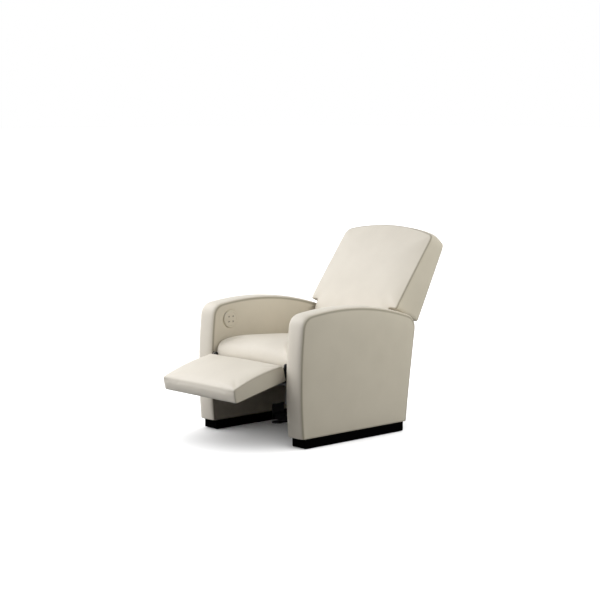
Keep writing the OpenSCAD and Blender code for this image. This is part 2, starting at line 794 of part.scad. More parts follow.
// Long round-ended hole, as a solid to cut with, from a to b in the side view
module long_hole(a, b, r, x0, l) {
    bar_x(a, r, x0, l);
    bar_x(b, r, x0, l);
    side_slab(x0, l) strap(a, b, 2 * r);
}
module legrest_drive_bracket() {
    r = window_r + drive_wall;
    foot_a = leg_place(drive_s + drive_foot_front, 0);
    foot_b = leg_place(drive_s - drive_foot_rear, 0);
    w = cheek_gap + 2 * cheek_t;
    color(steel) at_legrest() translate([drive_x, 0, 0]) difference() {
        union() {
            for (s = [-1, 1]) side_slab(s * (cheek_gap + cheek_t) / 2 - cheek_t / 2, cheek_t) {
                translate(window_a) circle(r);
                polygon([foot_a, polar(window_a, r, 200), polar(window_a, r, 290), polar(window_a, r, 330),
                    foot_b]);
            }
            translate([-w, foot_a.x, foot_a.y - cheek_t]) cube([2 * w, foot_b.x - foot_a.x, cheek_t]);
        }
        translate([-cheek_gap / 2, window_b.x - drive_relief, foot_a.y - cheek_t - over])
            cube([cheek_gap, 2 * drive_relief, cheek_t + 2 * over]);
        long_hole(window_a, window_b, window_r, -w, 2 * w);
    }
}

// Back, drawn about its pivot: local Z runs up along the back, local Y is the depth towards the rear

back_low_h = 15;
back_side_gap = 13;
back_side_x = inner_x - back_side_gap;
wing_x = inner_x + back_wing;
wing_r = 26;
back_edge = 10;
back_soft = 12;
back_foot_t = 172;
back_blend = 12;
frame_depth = 116;
frame_low_h = -20;
cross_h = 305;
upright_x = 215;
panel_sink = 2;
panel_gap = 1;
panel_t = back_rear_d - frame_depth - tube - panel_sink;
pocket_x = 240;
strap_t = 2;
strap_w = 50;
strap_places = [60, 140, 220, 400, 480, 560];
pocket_rim = 91;
pocket_top_h = back_top_h - pocket_rim;
frame_top_gap = 15;
frame_high_h = pocket_top_h - frame_top_gap;

module at_back() {
    translate([0, back_pivot.x, back_pivot.y]) rotate([-back_lean, 0, 0]) children();
}
// Depth of the front face at a height: two straight runs, blended at the lumbar by the arm notch
function back_face(h) = let (
    foot = back_rear_d - back_foot_t,
    hip = back_rear_d - back_low_t,
    head = back_rear_d - back_high_t,
    low = hip + (foot - hip) * (back_notch_h - h) / (back_notch_h - back_low_h),
    high = hip + (head - hip) * (h - back_notch_h) / (back_top_h - back_notch_h))
    (low + high + sqrt(pow(low - high, 2) + back_blend * back_blend)) / 2;
// Height of the arched top edge at a distance from the middle, with rounded upper corners
function back_top(x) = let (e = max(0, abs(x) - wing_x + wing_r))
    back_top_h - x * x / (2 * back_arch_r) - (wing_r - sqrt(max(0, wing_r * wing_r - e * e)));
back_shares = [-1, -0.985, -0.94, -0.86, -0.68, -0.4, 0, 0.4, 0.68, 0.86, 0.94, 0.985, 1];
// Ring of the back cushion: front row from one side to the other, then the rear row back again
function back_ring(half_w, low_h, share, pinch) = let (
    row = [for (u = back_shares) let (x = half_w * u, h = low_h + (back_top(x) - low_h) * share,
        soft = back_edge * pow(abs(u), back_soft), crown = back_crown * (1 - u * u))
        [[x, back_face(h) - crown + soft + pinch, h], [x, back_rear_d - soft - pinch, h]]])
    concat([for (r = row) r[1]], [for (i = [len(row) - 1:-1:0]) row[i][0]]);
// Shares of the height at which the two parts of the back cushion have their rings
low_shares = [0, 0.05, 0.3, 0.6, 1, 1.2];
high_shares = [0, 0.03, 0.1, 0.2, 0.32, 0.44, 0.56, 0.68, 0.79, 0.88, 0.95, 0.985, 1];
module back_cushion() {
    notch_share = (back_notch_h - back_low_h) / (back_top_h - back_low_h);
    color(leather) at_back() difference() {
        union() {
            loft([for (s = low_shares) back_lower_ring(s)]);
            loft([for (s = high_shares) back_ring(wing_x, back_notch_h, s,
                s == 0 || s == 1 ? back_edge : s < 0.04 || s > 0.98 ? back_edge / 4 : 0)]);
        }
        translate([-pocket_x, frame_depth - strap_t - over, -back_top_h])
            cube([2 * pocket_x, back_rear_d, back_top_h + pocket_top_h]);
    }
}
// Ring of the narrow lower part between the arms, at a share of its height up to the notch
function back_lower_ring(share) = let (
    h = back_low_h + (back_notch_h - back_low_h) * share,
    pinch = share == 0 ? back_edge : 0,
    row = [for (u = back_shares) let (x = back_side_x * u,
        soft = back_edge * pow(abs(u), back_soft), crown = back_crown * (1 - u * u))
        [[x, back_face(h) - crown + soft + pinch, h], [x, back_rear_d - soft, h]]])
    concat([for (r = row) r[1]], [for (i = [len(row) - 1:-1:0]) row[i][0]]);
module back_frame() {
    color(steel) at_back() {
        for (s = [-1, 1]) translate([s * upright_x - tube / 2, frame_depth, frame_low_h + tube])
            difference() {
                cube([tube, tube, frame_high_h - frame_low_h - 2 * tube]);
                translate([tube_wall, tube_wall, -over])
                    cube([tube - 2 * tube_wall, tube - 2 * tube_wall, frame_high_h - frame_low_h]);
            }
        tube_x([-upright_x - tube / 2, frame_depth, frame_high_h - tube], 2 * upright_x + tube);
        tube_x([-upright_x + tube / 2, frame_depth, cross_h], 2 * upright_x - tube);
        tube_x([-hinge_x, frame_depth, frame_low_h], 2 * hinge_x);
    }
}
module back_webbing() {
    color(black) at_back() for (h = strap_places)
        translate([-upright_x - tube / 2, frame_depth - strap_t, h])
            cube([2 * upright_x + tube, strap_t, strap_w]);
}
module back_rear_panel() {
    color(leather_back) at_back() translate([-pocket_x + panel_gap, frame_depth + tube, back_low_h])
        cube([2 * (pocket_x - panel_gap), panel_t, pocket_top_h - panel_gap - back_low_h]);
}
hinge_x = side_plate_x - bush_flange - slip - plate_t;
hinge_end = [frame_depth + tube / 2, frame_low_h + tube / 2];
hinge_end_r = 27;
hinge_eye_r = 22;
module hinge_plate() {
    color(steel) at_back() difference() {
        side_slab(hinge_x, plate_t) difference() {
            union() {
                circle(hinge_eye_r);
                translate(hinge_end) circle(hinge_end_r);
                polygon([polar([0, 0], hinge_eye_r, 90), polar([0, 0], hinge_eye_r, 250),
                    polar(hinge_end, hinge_end_r, 260), polar(hinge_end, hinge_end_r, 95)]);
            }
            translate(hinge_end / 2) circle(slot_r);
        }
        bar_x([0, 0], back_neck_r, hinge_x - over, plate_t + 2 * over);
    }
}
module left_hinge_plate() hinge_plate();
module right_hinge_plate() mirrored() hinge_plate();
module back_pivot_pins() {
    outer = side_plate_x + back_bush_l - slip;
    color(zinc) both_sides() at_back() {
        bar_x([0, 0], back_pin_r, hinge_x + plate_t, outer - hinge_x - plate_t);
        bar_x([0, 0], back_neck_r, hinge_x, plate_t);
    }
}
lever_x = 90;
lever_depth = 40;
lever_drop = 145;
lever_place = [lever_depth, -lever_drop];
lever_r = 17;
lever_hole_r = 6.7;
lever_shift = 1.32;
module back_drive_lever() {
    out = lever_place / norm(lever_place);
    color(steel) at_back() translate([lever_x, 0, 0]) difference() {
        for (s = [-1, 1]) side_slab(s * (cheek_gap + cheek_t) / 2 - cheek_t / 2, cheek_t) {
            translate(lever_place) circle(lever_r);
            polygon([polar(lever_place, lever_r, 150), polar(lever_place, lever_r, 320),
                [frame_depth + tube, frame_low_h], [frame_depth, frame_low_h]]);
        }
        bar_x(lever_place - out * lever_shift, lever_hole_r, -cheek_gap, 2 * cheek_gap);
    }
}

// Linear actuators, drawn with the rear pin at the origin and the rod along local Y

leg_foot_z = 230;
leg_foot = [-rail_spacing / 2, leg_foot_z];
back_foot_z = 290;
back_foot = [front + frame_front + tube / 2, back_foot_z];
function turned(p, a) = [p.x * cos(a) - p.y * sin(a), p.x * sin(a) + p.y * cos(a)];
leg_tip = leg_pivot + turned(drive_place, leg_tilt);
back_tip = back_pivot + turned(lever_place, -back_lean);
leg_reach = norm(leg_tip - leg_foot);
back_reach = norm(back_tip - back_foot);
leg_angle = atan2(leg_tip.y - leg_foot.y, leg_tip.x - leg_foot.x);
back_angle = atan2(back_tip.y - back_foot.y, back_tip.x - back_foot.x);
eye_r = 12;
eye_w = 16;
act_tube_r = 15;
act_collar_r = 18;
act_collar_l = 18;
rod_r = 9;
gear_l = 64;
gear_w = 46;
gear_h = 56;
gear_back = 26;
motor_r = 21;
motor_l = 92;
gear_round = 8;
leg_tube_end = 305;
back_tube_end = 400;
leg_rod_start = 268;
back_rod_start = 120;
pin_over = 3.5;
pin_head_r = 7;
pin_head_t = 2;

module at_actuator(x, foot, angle) {
    translate([x, foot.x, foot.y]) rotate([angle, 0, 0]) children();
}
// Gearbox with its rear eye, and the motor lying across the tube
module gearmotor(side) {
    difference() {
        union() {
            bar_x([0, 0], eye_r, -eye_w / 2, eye_w);
            side_slab(-eye_w / 2, eye_w) strap([0, 0], [gear_back + over, 0], 2 * eye_r);
            side_slab(-gear_w / 2, gear_w) translate([gear_back, -gear_h / 2]) union() {
                translate([gear_round, 0]) square([gear_l - 2 * gear_round, gear_h]);
                translate([0, gear_round]) square([gear_l, gear_h - 2 * gear_round]);
                for (y = [gear_round, gear_l - gear_round]) for (z = [gear_round, gear_h - gear_round])
                    translate([y, z]) circle(gear_round);
            }
            translate([0, gear_back + gear_l / 2, 0]) mirror([0, 0, side > 0 ? 0 : 1])
                cylinder(r = motor_r, h = gear_h / 2 + motor_l);
        }
        bar_x([0, 0], rod_pin_r + run_fit, -eye_w, 2 * eye_w);
        rotate([-90, 0, 0]) translate([0, 0, gear_back + gear_l - gear_round])
            cylinder(r = act_tube_r, h = gear_l);
    }
}
module actuator_tube(end) {
    y0 = gear_back + gear_l - gear_round;
    rotate([-90, 0, 0]) difference() {
        union() {
            translate([0, 0, y0]) cylinder(r = act_tube_r, h = end - y0);
            translate([0, 0, end - act_collar_l]) cylinder(r = act_collar_r, h = act_collar_l);
        }
        translate([0, 0, y0 + over]) cylinder(r = rod_r + run_fit, h = end);
    }
}
module actuator_rod(reach, hidden_to) {
    difference() {
        union() {
            rotate([-90, 0, 0]) translate([0, 0, hidden_to])
                cylinder(r = rod_r, h = reach - eye_r - hidden_to + over);
            bar_x([reach, 0], eye_r, -eye_w / 2, eye_w);
            side_slab(-rod_r + over, 2 * (rod_r - over))
                strap([reach - 2 * eye_r, 0], [reach, 0], 2 * (rod_r - over));
        }
        bar_x([reach, 0], rod_pin_r + run_fit, -eye_w, 2 * eye_w);
    }
}
// Headed pin through the rod's eye
module rod_pin(reach) {
    half = cheek_gap / 2 + cheek_t + pin_over;
    bar_x([reach, 0], rod_pin_r, -half, 2 * half);
    for (x = [-half, half - pin_head_t]) bar_x([reach, 0], pin_head_r, x, pin_head_t);
}
module on_leg_drive() {
    at_actuator(drive_x, leg_foot, leg_angle) children();
}
module on_back_drive() {
    at_actuator(lever_x, back_foot, back_angle) children();
}
module legrest_motor() color(black) on_leg_drive() gearmotor(1);
module legrest_actuator_tube() color(aluminium) on_leg_drive() actuator_tube(leg_tube_end);
module legrest_actuator_rod() color(zinc) on_leg_drive() actuator_rod(leg_reach, leg_rod_start);
module legrest_rod_pin() color(zinc) on_leg_drive() rod_pin(leg_reach);
module back_motor() color(black) on_back_drive() gearmotor(-1);
module back_actuator_tube() color(aluminium) on_back_drive() actuator_tube(back_tube_end);
module back_actuator_rod() color(zinc) on_back_drive() actuator_rod(back_reach, back_rod_start);
module back_rod_pin() color(zinc) on_back_drive() rod_pin(back_reach);

// Brackets that hold the motor end of an actuator, welded to a base rail and to the seat frame

bracket_gap = 17;
bracket_t = 4;
bracket_r = 14;
// Two cheeks on a foot plate that is half_l long either way, with the plate's steel face at height z
module actuator_bracket(x, foot, z, half_l) {
    w = bracket_gap + 2 * bracket_t;
    color(steel) translate([x, 0, 0]) difference() {
        union() {
            for (s = [-1, 1]) side_slab(s * (bracket_gap + bracket_t) / 2 - bracket_t / 2, bracket_t) {
                translate(foot) circle(bracket_r);
                polygon([foot + [-bracket_r, 0], foot + [bracket_r, 0],
                    [foot.x + half_l, z], [foot.x - half_l, z]]);
            }
            translate([-w, foot.x - half_l, min(z, z + sign(foot.y - z) * bracket_t)])
                cube([2 * w, 2 * half_l, bracket_t]);
        }
        bar_x(foot, rod_pin_r + run_fit, -w, 2 * w);
    }
}
module legrest_actuator_bracket() actuator_bracket(drive_x, leg_foot, rail_z + rail_t, rail_w / 2);
module back_actuator_bracket() actuator_bracket(lever_x, back_foot, deck_z - tube, tube / 2);
module actuator_pins() {
    half = bracket_gap / 2 + bracket_t + pin_over;
    color(zinc) for (place = [[drive_x, leg_foot], [lever_x, back_foot]]) {
        bar_x(place[1], rod_pin_r, place[0] - half, 2 * half);
    }
}

left_arm_frame();
right_arm_frame();
left_arm_cover();
right_arm_cover();
left_plinth();
right_plinth();
floor_glides();
plinth_screws();
front_base_rail();
rear_base_rail();
left_side_plate();
right_side_plate();
arm_bolts();
left_leg_bush();
right_leg_bush();
left_back_bush();
right_back_bush();
seat_frame();
seat_deck();
seat_springs();
spring_clips();
seat_cushion();
rear_valance();
legrest_actuator_bracket();
back_actuator_bracket();
actuator_pins();
control_box();
power_inlet();
control_housing();
control_face();
button_front_upper();
button_rear_upper();
button_front_lower();
button_rear_lower();
legrest_board();
legrest_pad();
left_legrest_arm();
right_legrest_arm();
legrest_pivot_pins();
legrest_drive_bracket();
back_frame();
back_webbing();
back_cushion();
back_rear_panel();
left_hinge_plate();
right_hinge_plate();
back_pivot_pins();
back_drive_lever();
legrest_motor();
legrest_actuator_tube();
legrest_actuator_rod();
legrest_rod_pin();
back_motor();
back_actuator_tube();
back_actuator_rod();
back_rod_pin();
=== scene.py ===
from math import radians, sin, cos, pi
import bmesh
import bpy
import numpy as np
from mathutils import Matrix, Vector
from mathutils.geometry import delaunay_2d_cdt
from mathutils.kdtree import KDTree


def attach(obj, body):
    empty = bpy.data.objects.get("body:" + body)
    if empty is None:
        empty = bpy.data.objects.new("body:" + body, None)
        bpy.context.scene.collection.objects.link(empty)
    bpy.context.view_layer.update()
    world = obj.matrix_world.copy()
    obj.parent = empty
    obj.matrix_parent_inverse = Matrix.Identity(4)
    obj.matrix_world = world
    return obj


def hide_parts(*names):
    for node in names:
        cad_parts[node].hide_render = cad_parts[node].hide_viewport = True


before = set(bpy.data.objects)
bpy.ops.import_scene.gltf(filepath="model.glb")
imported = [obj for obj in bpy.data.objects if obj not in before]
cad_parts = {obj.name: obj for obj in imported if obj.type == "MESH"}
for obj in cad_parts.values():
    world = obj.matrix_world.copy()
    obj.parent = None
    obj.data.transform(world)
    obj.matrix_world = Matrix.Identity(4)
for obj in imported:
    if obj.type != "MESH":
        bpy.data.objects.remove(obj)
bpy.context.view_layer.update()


# Camera and studio. The seat is seen from its left front corner through a long lens. A wide key from the
# sitter's right, a dome and five softboxes light the seat alone. The floor has a brighter dome of its
# own, so that it runs into the white backdrop and is dark only under the seat.
camera_place = (5.999, -5.7143, 1.6309)
camera_heading = radians(47.41)
camera_fall = radians(6.7)
sensor_width = 36
lens_length = 96.32
view_end = 400
white = (1.0, 1.0, 1.0)
key_colour = (0.945, 0.955, 1.0)
fill_colour = (1.0, 0.99, 0.91)
surround_level = 0.0
floor_shown = (0.86, 0.86, 0.86)
floor_bounce = (0.02, 0.02, 0.02)
floor_roughness = 0.9
floor_half = 120.0
light_target = (0, -0.15, 0.5)
sun_distance = 4.0
softbox_distance = 3.0


def placed(name, data):
    """A new object of the scene."""
    obj = bpy.data.objects.new(name, data)
    bpy.context.scene.collection.objects.link(obj)
    return obj


camera = placed("camera", bpy.data.cameras.new("camera"))
bpy.context.scene.camera = camera
bpy.context.scene.view_settings.view_transform = "Standard"
camera.location = camera_place
camera.rotation_euler = (pi / 2 - camera_fall, 0, camera_heading)
camera.data.sensor_width = sensor_width
camera.data.lens = lens_length
camera.data.clip_end = view_end


def seen_directly(tree):
    """A share that is 1 for rays that show the background: from the camera, in gloss or through glass."""
    path = tree.nodes.new("ShaderNodeLightPath")
    share = path.outputs["Is Camera Ray"]
    for kind in ("Is Glossy Ray", "Is Transmission Ray"):
        either = tree.nodes.new("ShaderNodeMath")
        either.operation = "MAXIMUM"
        tree.links.new(share, either.inputs[0])
        tree.links.new(path.outputs[kind], either.inputs[1])
        share = either.outputs[0]
    return share


world = bpy.data.worlds.new("studio_surround")
bpy.context.scene.world = world
world.use_nodes = True
nodes = world.node_tree.nodes
links = world.node_tree.links
nodes.clear()
surround = nodes.new("ShaderNodeBackground")
surround.inputs["Color"].default_value = (*white, 1)
surround.inputs["Strength"].default_value = surround_level
seen = nodes.new("ShaderNodeBackground")
seen.inputs["Color"].default_value = (*white, 1)
choice = nodes.new("ShaderNodeMixShader")
links.new(seen_directly(world.node_tree), choice.inputs[0])
links.new(surround.outputs[0], choice.inputs[1])
links.new(seen.outputs[0], choice.inputs[2])
links.new(choice.outputs[0], nodes.new("ShaderNodeOutputWorld").inputs["Surface"])

floor_mesh = bpy.data.meshes.new("studio_floor")
floor_mesh.from_pydata([(-floor_half, -floor_half, 0), (floor_half, -floor_half, 0),
                        (floor_half, floor_half, 0), (-floor_half, floor_half, 0)], [], [(0, 1, 2, 3)])
studio_floor = placed("studio_floor", floor_mesh)
floor_finish = bpy.data.materials.new("studio_floor")
floor_finish.use_nodes = True
floor_shader = floor_finish.node_tree.nodes["Principled BSDF"]
floor_tone = floor_finish.node_tree.nodes.new("ShaderNodeMix")
floor_tone.data_type = "RGBA"
floor_tone.inputs[6].default_value = (*floor_bounce, 1)
floor_tone.inputs[7].default_value = (*floor_shown, 1)
floor_finish.node_tree.links.new(seen_directly(floor_finish.node_tree), floor_tone.inputs[0])
floor_finish.node_tree.links.new(floor_tone.outputs[2], floor_shader.inputs["Base Color"])
floor_shader.inputs["Roughness"].default_value = floor_roughness
floor_shader.inputs["Specular IOR Level"].default_value = 0.0
floor_mesh.materials.append(floor_finish)

only_floor = bpy.data.collections.new("only_floor")
only_floor.objects.link(studio_floor)
all_but_floor = bpy.data.collections.new("all_but_floor")
all_but_floor.objects.link(studio_floor)
all_but_floor.collection_objects[0].light_linking.link_state = "EXCLUDE"


def aimed(name, data, heading, height, away, receivers):
    """A light for the pieces in receivers. Its heading is in degrees from the front, seen from above and
    anticlockwise, so that it is below 0 on the sitter's right; its height is in degrees over the floor."""
    light = placed(name, data)
    h, e = radians(heading), radians(height)
    way = Vector((sin(h) * cos(e), -cos(h) * cos(e), sin(e)))
    light.location = Vector(light_target) + way * away
    light.rotation_euler = way.to_track_quat("Z", "Y").to_euler()
    light.light_linking.receiver_collection = receivers
    return light


def sun(name, heading, height, level, spread, colour, receivers):
    """Light from one way, spread over an angle in degrees."""
    data = bpy.data.lights.new(name, "SUN")
    data.energy = level
    data.angle = radians(spread)
    data.color = colour
    aimed(name, data, heading, height, sun_distance, receivers)


def softbox(name, heading, height, size, watts, colour):
    """A round lit cloth, its size in metres, that shines on everything but the floor."""
    data = bpy.data.lights.new(name, "AREA")
    data.shape = "DISK"
    data.size = size
    data.energy = watts
    data.color = colour
    aimed(name, data, heading, height, softbox_distance, all_but_floor).visible_camera = False


sun("key", heading=-45, height=30, level=1.14, spread=60, colour=key_colour, receivers=all_but_floor)
sun("dome", heading=0, height=90, level=0.86, spread=175, colour=white, receivers=all_but_floor)
sun("floor_dome", heading=0, height=90, level=6.0, spread=175, colour=white, receivers=only_floor)
softbox("softbox_low", heading=-22, height=8, size=1.5, watts=6, colour=key_colour)
softbox("softbox_front", heading=-15, height=34, size=1.2, watts=20, colour=key_colour)
softbox("softbox_right", heading=-62, height=40, size=2.0, watts=35, colour=key_colour)
softbox("softbox_left", heading=110, height=20, size=2.0, watts=30, colour=fill_colour)
softbox("softbox_rear", heading=140, height=20, size=2.0, watts=11, colour=fill_colour)


# Arm covers. Each arm is a plywood frame in thin foam under cream leather: two flat side panels sewn
# to one long band that wraps the front, the arched top and the rear. The leather is pulled tight, so
# the panels swell only a little between their seams, and a row of topstitching holds each seam down.
arm_inner_x = 283.0
arm_width = 107.0
arm_front = -540.0
arm_floor = 52.0
arm_corner = [(2.0, arm_floor), (12.0, 642.0), (790.0, 575.0), (720.0, arm_floor)]
arm_front_bow = 18.0
arm_top_bow = 52.0
arm_front_round = (50.0, 50.0)
arm_rear_round = (62.0, 62.0)
# How far the band stands out from the outline at each distance in from its seam.
arm_rings = [(0.8, -0.9), (2.2, 1.0), (4.5, 2.7), (8.0, 4.2), (13.0, 5.5), (20.0, 6.6), (28.0, 7.3),
             (36.0, 7.7), (45.0, 7.9), (53.5, 8.0)]
arm_seam_drop = 3.6
arm_panel_inset = 6.5
arm_panel_proud = 0.5
arm_inner_reach = 2.2
arm_outer_reach = 3.2
arm_pressure = 3.0
arm_hem = 3.0
swell_frames = 20
stitch_rows = (4, -5)
stitch_pitch = 6.0
stitch_length = 4.0
stitch_r = 0.45
stitch_end_r = 0.3
stitch_lift = 0.25
stitch_sink = -0.3
stitch_flatness = 1.3
stitch_sides = 6
arm_stitch_start = 6.0


def bow(p, q, rise, trim_p, trim_q, steps=40):
    """A shallow bow from p to q that stands to the left of the way, and stops short of its ends."""
    p, q = np.array(p), np.array(q)
    d = q - p
    length = np.hypot(*d)
    t = np.linspace(trim_p / length, 1 - trim_q / length, steps + 1)[:, None]
    return p + d * t + np.array([-d[1], d[0]]) / length * 4 * rise * t * (1 - t)


def soft_corner(p, c, q, steps=16):
    """A corner c drawn as a curve from p to q, flush with both sides at its ends."""
    t = np.linspace(0, 1, steps + 1)[:, None]
    return (1 - t) ** 2 * p + 2 * t * (1 - t) * np.array(c) + t ** 2 * q


def spaced(points, count):
    """The same line with count equal steps."""
    points = np.asarray(points, float)
    along = np.concatenate([[0], np.cumsum(np.linalg.norm(np.diff(points, axis=0), axis=1))])
    at = np.linspace(0, along[-1], count + 1)
    return np.stack([np.interp(at, along, points[:, k]) for k in range(points.shape[1])], axis=1)


def wrapped_outline(a, b, c, d, rises, rounds, counts):
    """Side outline of a wrapped pad in four sides: up the front, along the top, down the rear, back below."""
    (before_b, after_b), (before_c, after_c) = rounds
    up = bow(a, b, rises[0], 0, before_b)
    top = bow(b, c, rises[1], after_b, before_c)
    down = bow(c, d, rises[2], after_c, 0)
    first = soft_corner(up[-1], b, top[0])
    second = soft_corner(top[-1], c, down[0])
    h1, h2 = len(first) // 2, len(second) // 2
    sides = [np.concatenate([up, first[1:h1 + 1]]),
             np.concatenate([first[h1:], top[1:], second[1:h2 + 1]]),
             np.concatenate([second[h2:], down[1:]]),
             np.array([d, a], float)]
    n_up, n_top = counts
    return [spaced(side, n) for side, n in zip(sides, (n_up, n_top, n_up, n_top))]


def woven(sides):
    """Grid of points between four sides, with its quads and the order of its edge points."""
    up, top, down, low = sides
    n, m = len(up) - 1, len(top) - 1
    s = np.linspace(0, 1, m + 1)[None, :, None]
    t = np.linspace(0, 1, n + 1)[:, None, None]
    left, right = up[:, None, :], down[::-1][:, None, :]
    bottom, upper = low[::-1][None, :, :], top[None, :, :]
    corners = ((1 - s) * (1 - t) * up[0] + s * (1 - t) * low[0] + (1 - s) * t * top[0] + s * t * top[-1])
    grid = (1 - s) * left + s * right + (1 - t) * bottom + t * upper - corners
    number = np.arange((n + 1) * (m + 1)).reshape(n + 1, m + 1)
    cells = np.stack([number[:-1, :-1], number[1:, :-1], number[1:, 1:], number[:-1, 1:]], axis=-1)
    loop = np.concatenate([number[:, 0], number[-1, 1:], number[:-1, -1][::-1], number[0, 1:-1][::-1]])
    return grid.reshape(-1, 3), cells.reshape(-1, 4), loop


def boxed(name, panel_a, panel_b, cells, loop, rings, seams=(0, -1)):
    """Closed leather case: two panels with the same cells, joined by rings along their edge. The rings
    numbered in seams are sewn, and every point keeps its distance from them. Gives the object and the
    point numbers of its rows: the edge of one panel, the rings, and the edge of the other panel."""
    count = len(panel_a)
    around = len(loop)
    points = np.concatenate([panel_a, panel_b] + rings)
    rows = [loop] + [2 * count + k * around + np.arange(around) for k in range(len(rings))] + [loop + count]
    faces = [cells, cells[:, ::-1] + count]
    for a, b in zip(rows[:-1], rows[1:]):
        faces.append(np.stack([np.roll(a, -1), a, b, np.roll(b, -1)], axis=-1))
    faces = np.concatenate(faces)
    mesh = bpy.data.meshes.new(name)
    mesh.from_pydata((points / 1000).tolist(), [], faces.tolist())
    mesh.polygons.foreach_set("use_smooth", np.ones(len(faces), bool))
    sewn = np.concatenate([points[rows[1:-1][k]] for k in seams])
    tree = KDTree(len(sewn))
    for k, p in enumerate(sewn):
        tree.insert(p, k)
    tree.balance()
    far = np.array([tree.find(p)[2] for p in points])
    mesh.attributes.new("seam_distance", "FLOAT", "POINT").data.foreach_set("value", far / 1000)
    return placed(name, mesh), rows


def points_of(obj):
    """Where the points of an object lie, in millimetres."""
    co = np.empty(len(obj.data.vertices) * 3)
    obj.data.vertices.foreach_get("co", co)
    return co.reshape(-1, 3) * 1000


def move_points(obj, co):
    """Move the points of an object to places in millimetres."""
    obj.data.vertices.foreach_set("co", (co / 1000).ravel())
    obj.data.update()


def outward(obj):
    """Turn the faces outward if the case came out inside out."""
    mesh = obj.data
    co = points_of(obj)
    quads = np.array([p.vertices[:] for p in mesh.polygons])
    a, b, c, d = (co[quads[:, k]] for k in range(4))
    volume = (np.einsum("ij,ij->i", a, np.cross(b, c)) + np.einsum("ij,ij->i", a, np.cross(c, d))).sum()
    if volume < 0:
        mesh.flip_normals()


def inflate(obj, pinned, reach, pressure=4.0, stiffness=18.0):
    """Blow the case up as cloth between the pinned points, and let no point move further than its reach."""
    rest = points_of(obj)
    group = obj.vertex_groups.new(name="held")
    group.add([int(k) for k in np.flatnonzero(pinned)], 1.0, "REPLACE")
    cloth = obj.modifiers.new("swell", "CLOTH")
    cloth.settings.quality = 5
    cloth.settings.mass = 0.25
    cloth.settings.tension_stiffness = stiffness
    cloth.settings.compression_stiffness = stiffness
    cloth.settings.shear_stiffness = stiffness / 3
    cloth.settings.bending_stiffness = 1.5
    cloth.settings.air_damping = 2.0
    cloth.settings.use_pressure = True
    cloth.settings.uniform_pressure_force = pressure
    cloth.settings.vertex_group_mass = "held"
    cloth.settings.effector_weights.gravity = 0
    cloth.collision_settings.use_collision = False
    cloth.collision_settings.use_self_collision = False
    cloth.point_cache.frame_start = 1
    cloth.point_cache.frame_end = swell_frames
    scene = bpy.context.scene
    for step in range(1, swell_frames + 1):
        scene.frame_set(step)
    move = points_of(obj.evaluated_get(bpy.context.evaluated_depsgraph_get())) - rest
    obj.modifiers.remove(cloth)
    scene.frame_set(1)
    size = np.linalg.norm(move, axis=1)
    limit = np.maximum(reach, 0.001)
    kept = limit * np.tanh(size / limit)
    move_points(obj, rest + move * (kept / np.maximum(size, 1e-6))[:, None])


def refined(obj):
    """One round of subdivision, made part of the mesh."""
    obj.modifiers.new("smooth", "SUBSURF").levels = 1
    new = bpy.data.meshes.new_from_object(obj.evaluated_get(bpy.context.evaluated_depsgraph_get()))
    obj.modifiers.clear()
    old = obj.data
    obj.data = new
    bpy.data.meshes.remove(old)
    new.name = obj.name
    new.polygons.foreach_set("use_smooth", np.ones(len(new.polygons), bool))


def places(obj, row):
    """Where the points of a row lie now, in millimetres, and which way their surface faces."""
    mesh = obj.data
    return (np.array([mesh.vertices[k].co for k in row]) * 1000,
            np.array([mesh.vertices[k].normal for k in row]))


def stitched(name, lines):
    """Topstitching: short thread loops laid end to end along lines of places and their outward ways."""
    lifts = (stitch_sink, stitch_lift, stitch_sink)
    radii = (stitch_end_r, stitch_r, stitch_end_r)
    points, faces = [], []
    for line, way in lines:
        along = np.concatenate([[0], np.cumsum(np.linalg.norm(np.diff(line, axis=0), axis=1))])
        count = int(along[-1] / stitch_pitch)
        for k in range(count):
            ends = k * along[-1] / count + np.array([0, 0.5, 1]) * stitch_length
            spine = np.stack([np.interp(ends, along, line[:, c]) for c in range(3)], axis=1)
            out = np.stack([np.interp(ends, along, way[:, c]) for c in range(3)], axis=1)
            out /= np.maximum(np.linalg.norm(out, axis=1), 1e-9)[:, None]
            ahead = spine[2] - spine[0]
            ahead /= max(np.linalg.norm(ahead), 1e-9)
            start = len(points)
            for p, o, lift, r in zip(spine, out, lifts, radii):
                side = np.cross(ahead, o)
                for turn in range(stitch_sides):
                    angle = turn * 2 * pi / stitch_sides
                    points.append(p + o * (lift + r * sin(angle)) + side * r * stitch_flatness * cos(angle))
            for low in (start, start + stitch_sides):
                for turn in range(stitch_sides):
                    a, b = low + turn, low + (turn + 1) % stitch_sides
                    faces.append((a, b, b + stitch_sides, a + stitch_sides))
            faces.append(tuple(range(start + stitch_sides - 1, start - 1, -1)))
            faces.append(tuple(range(start + 2 * stitch_sides, start + 3 * stitch_sides)))
    mesh = bpy.data.meshes.new(name)
    mesh.from_pydata((np.array(points) / 1000).tolist(), [], faces)
    mesh.polygons.foreach_set("use_smooth", np.ones(len(faces), bool))
    return placed(name, mesh)


def surface_group(name, inputs):
    """A shader node group that gives a colour, a roughness and a height. Comes with its named inputs."""
    group = bpy.data.node_groups.new(name, "ShaderNodeTree")
    for label, kind, value in inputs:
        socket = group.interface.new_socket(label, in_out="INPUT", socket_type="NodeSocket" + kind)
        if value is not None:
            socket.default_value = value
    for label, kind in (("Colour", "Color"), ("Roughness", "Float"), ("Height", "Float")):
        group.interface.new_socket(label, in_out="OUTPUT", socket_type="NodeSocket" + kind)
    return group, group.nodes.new("NodeGroupInput").outputs


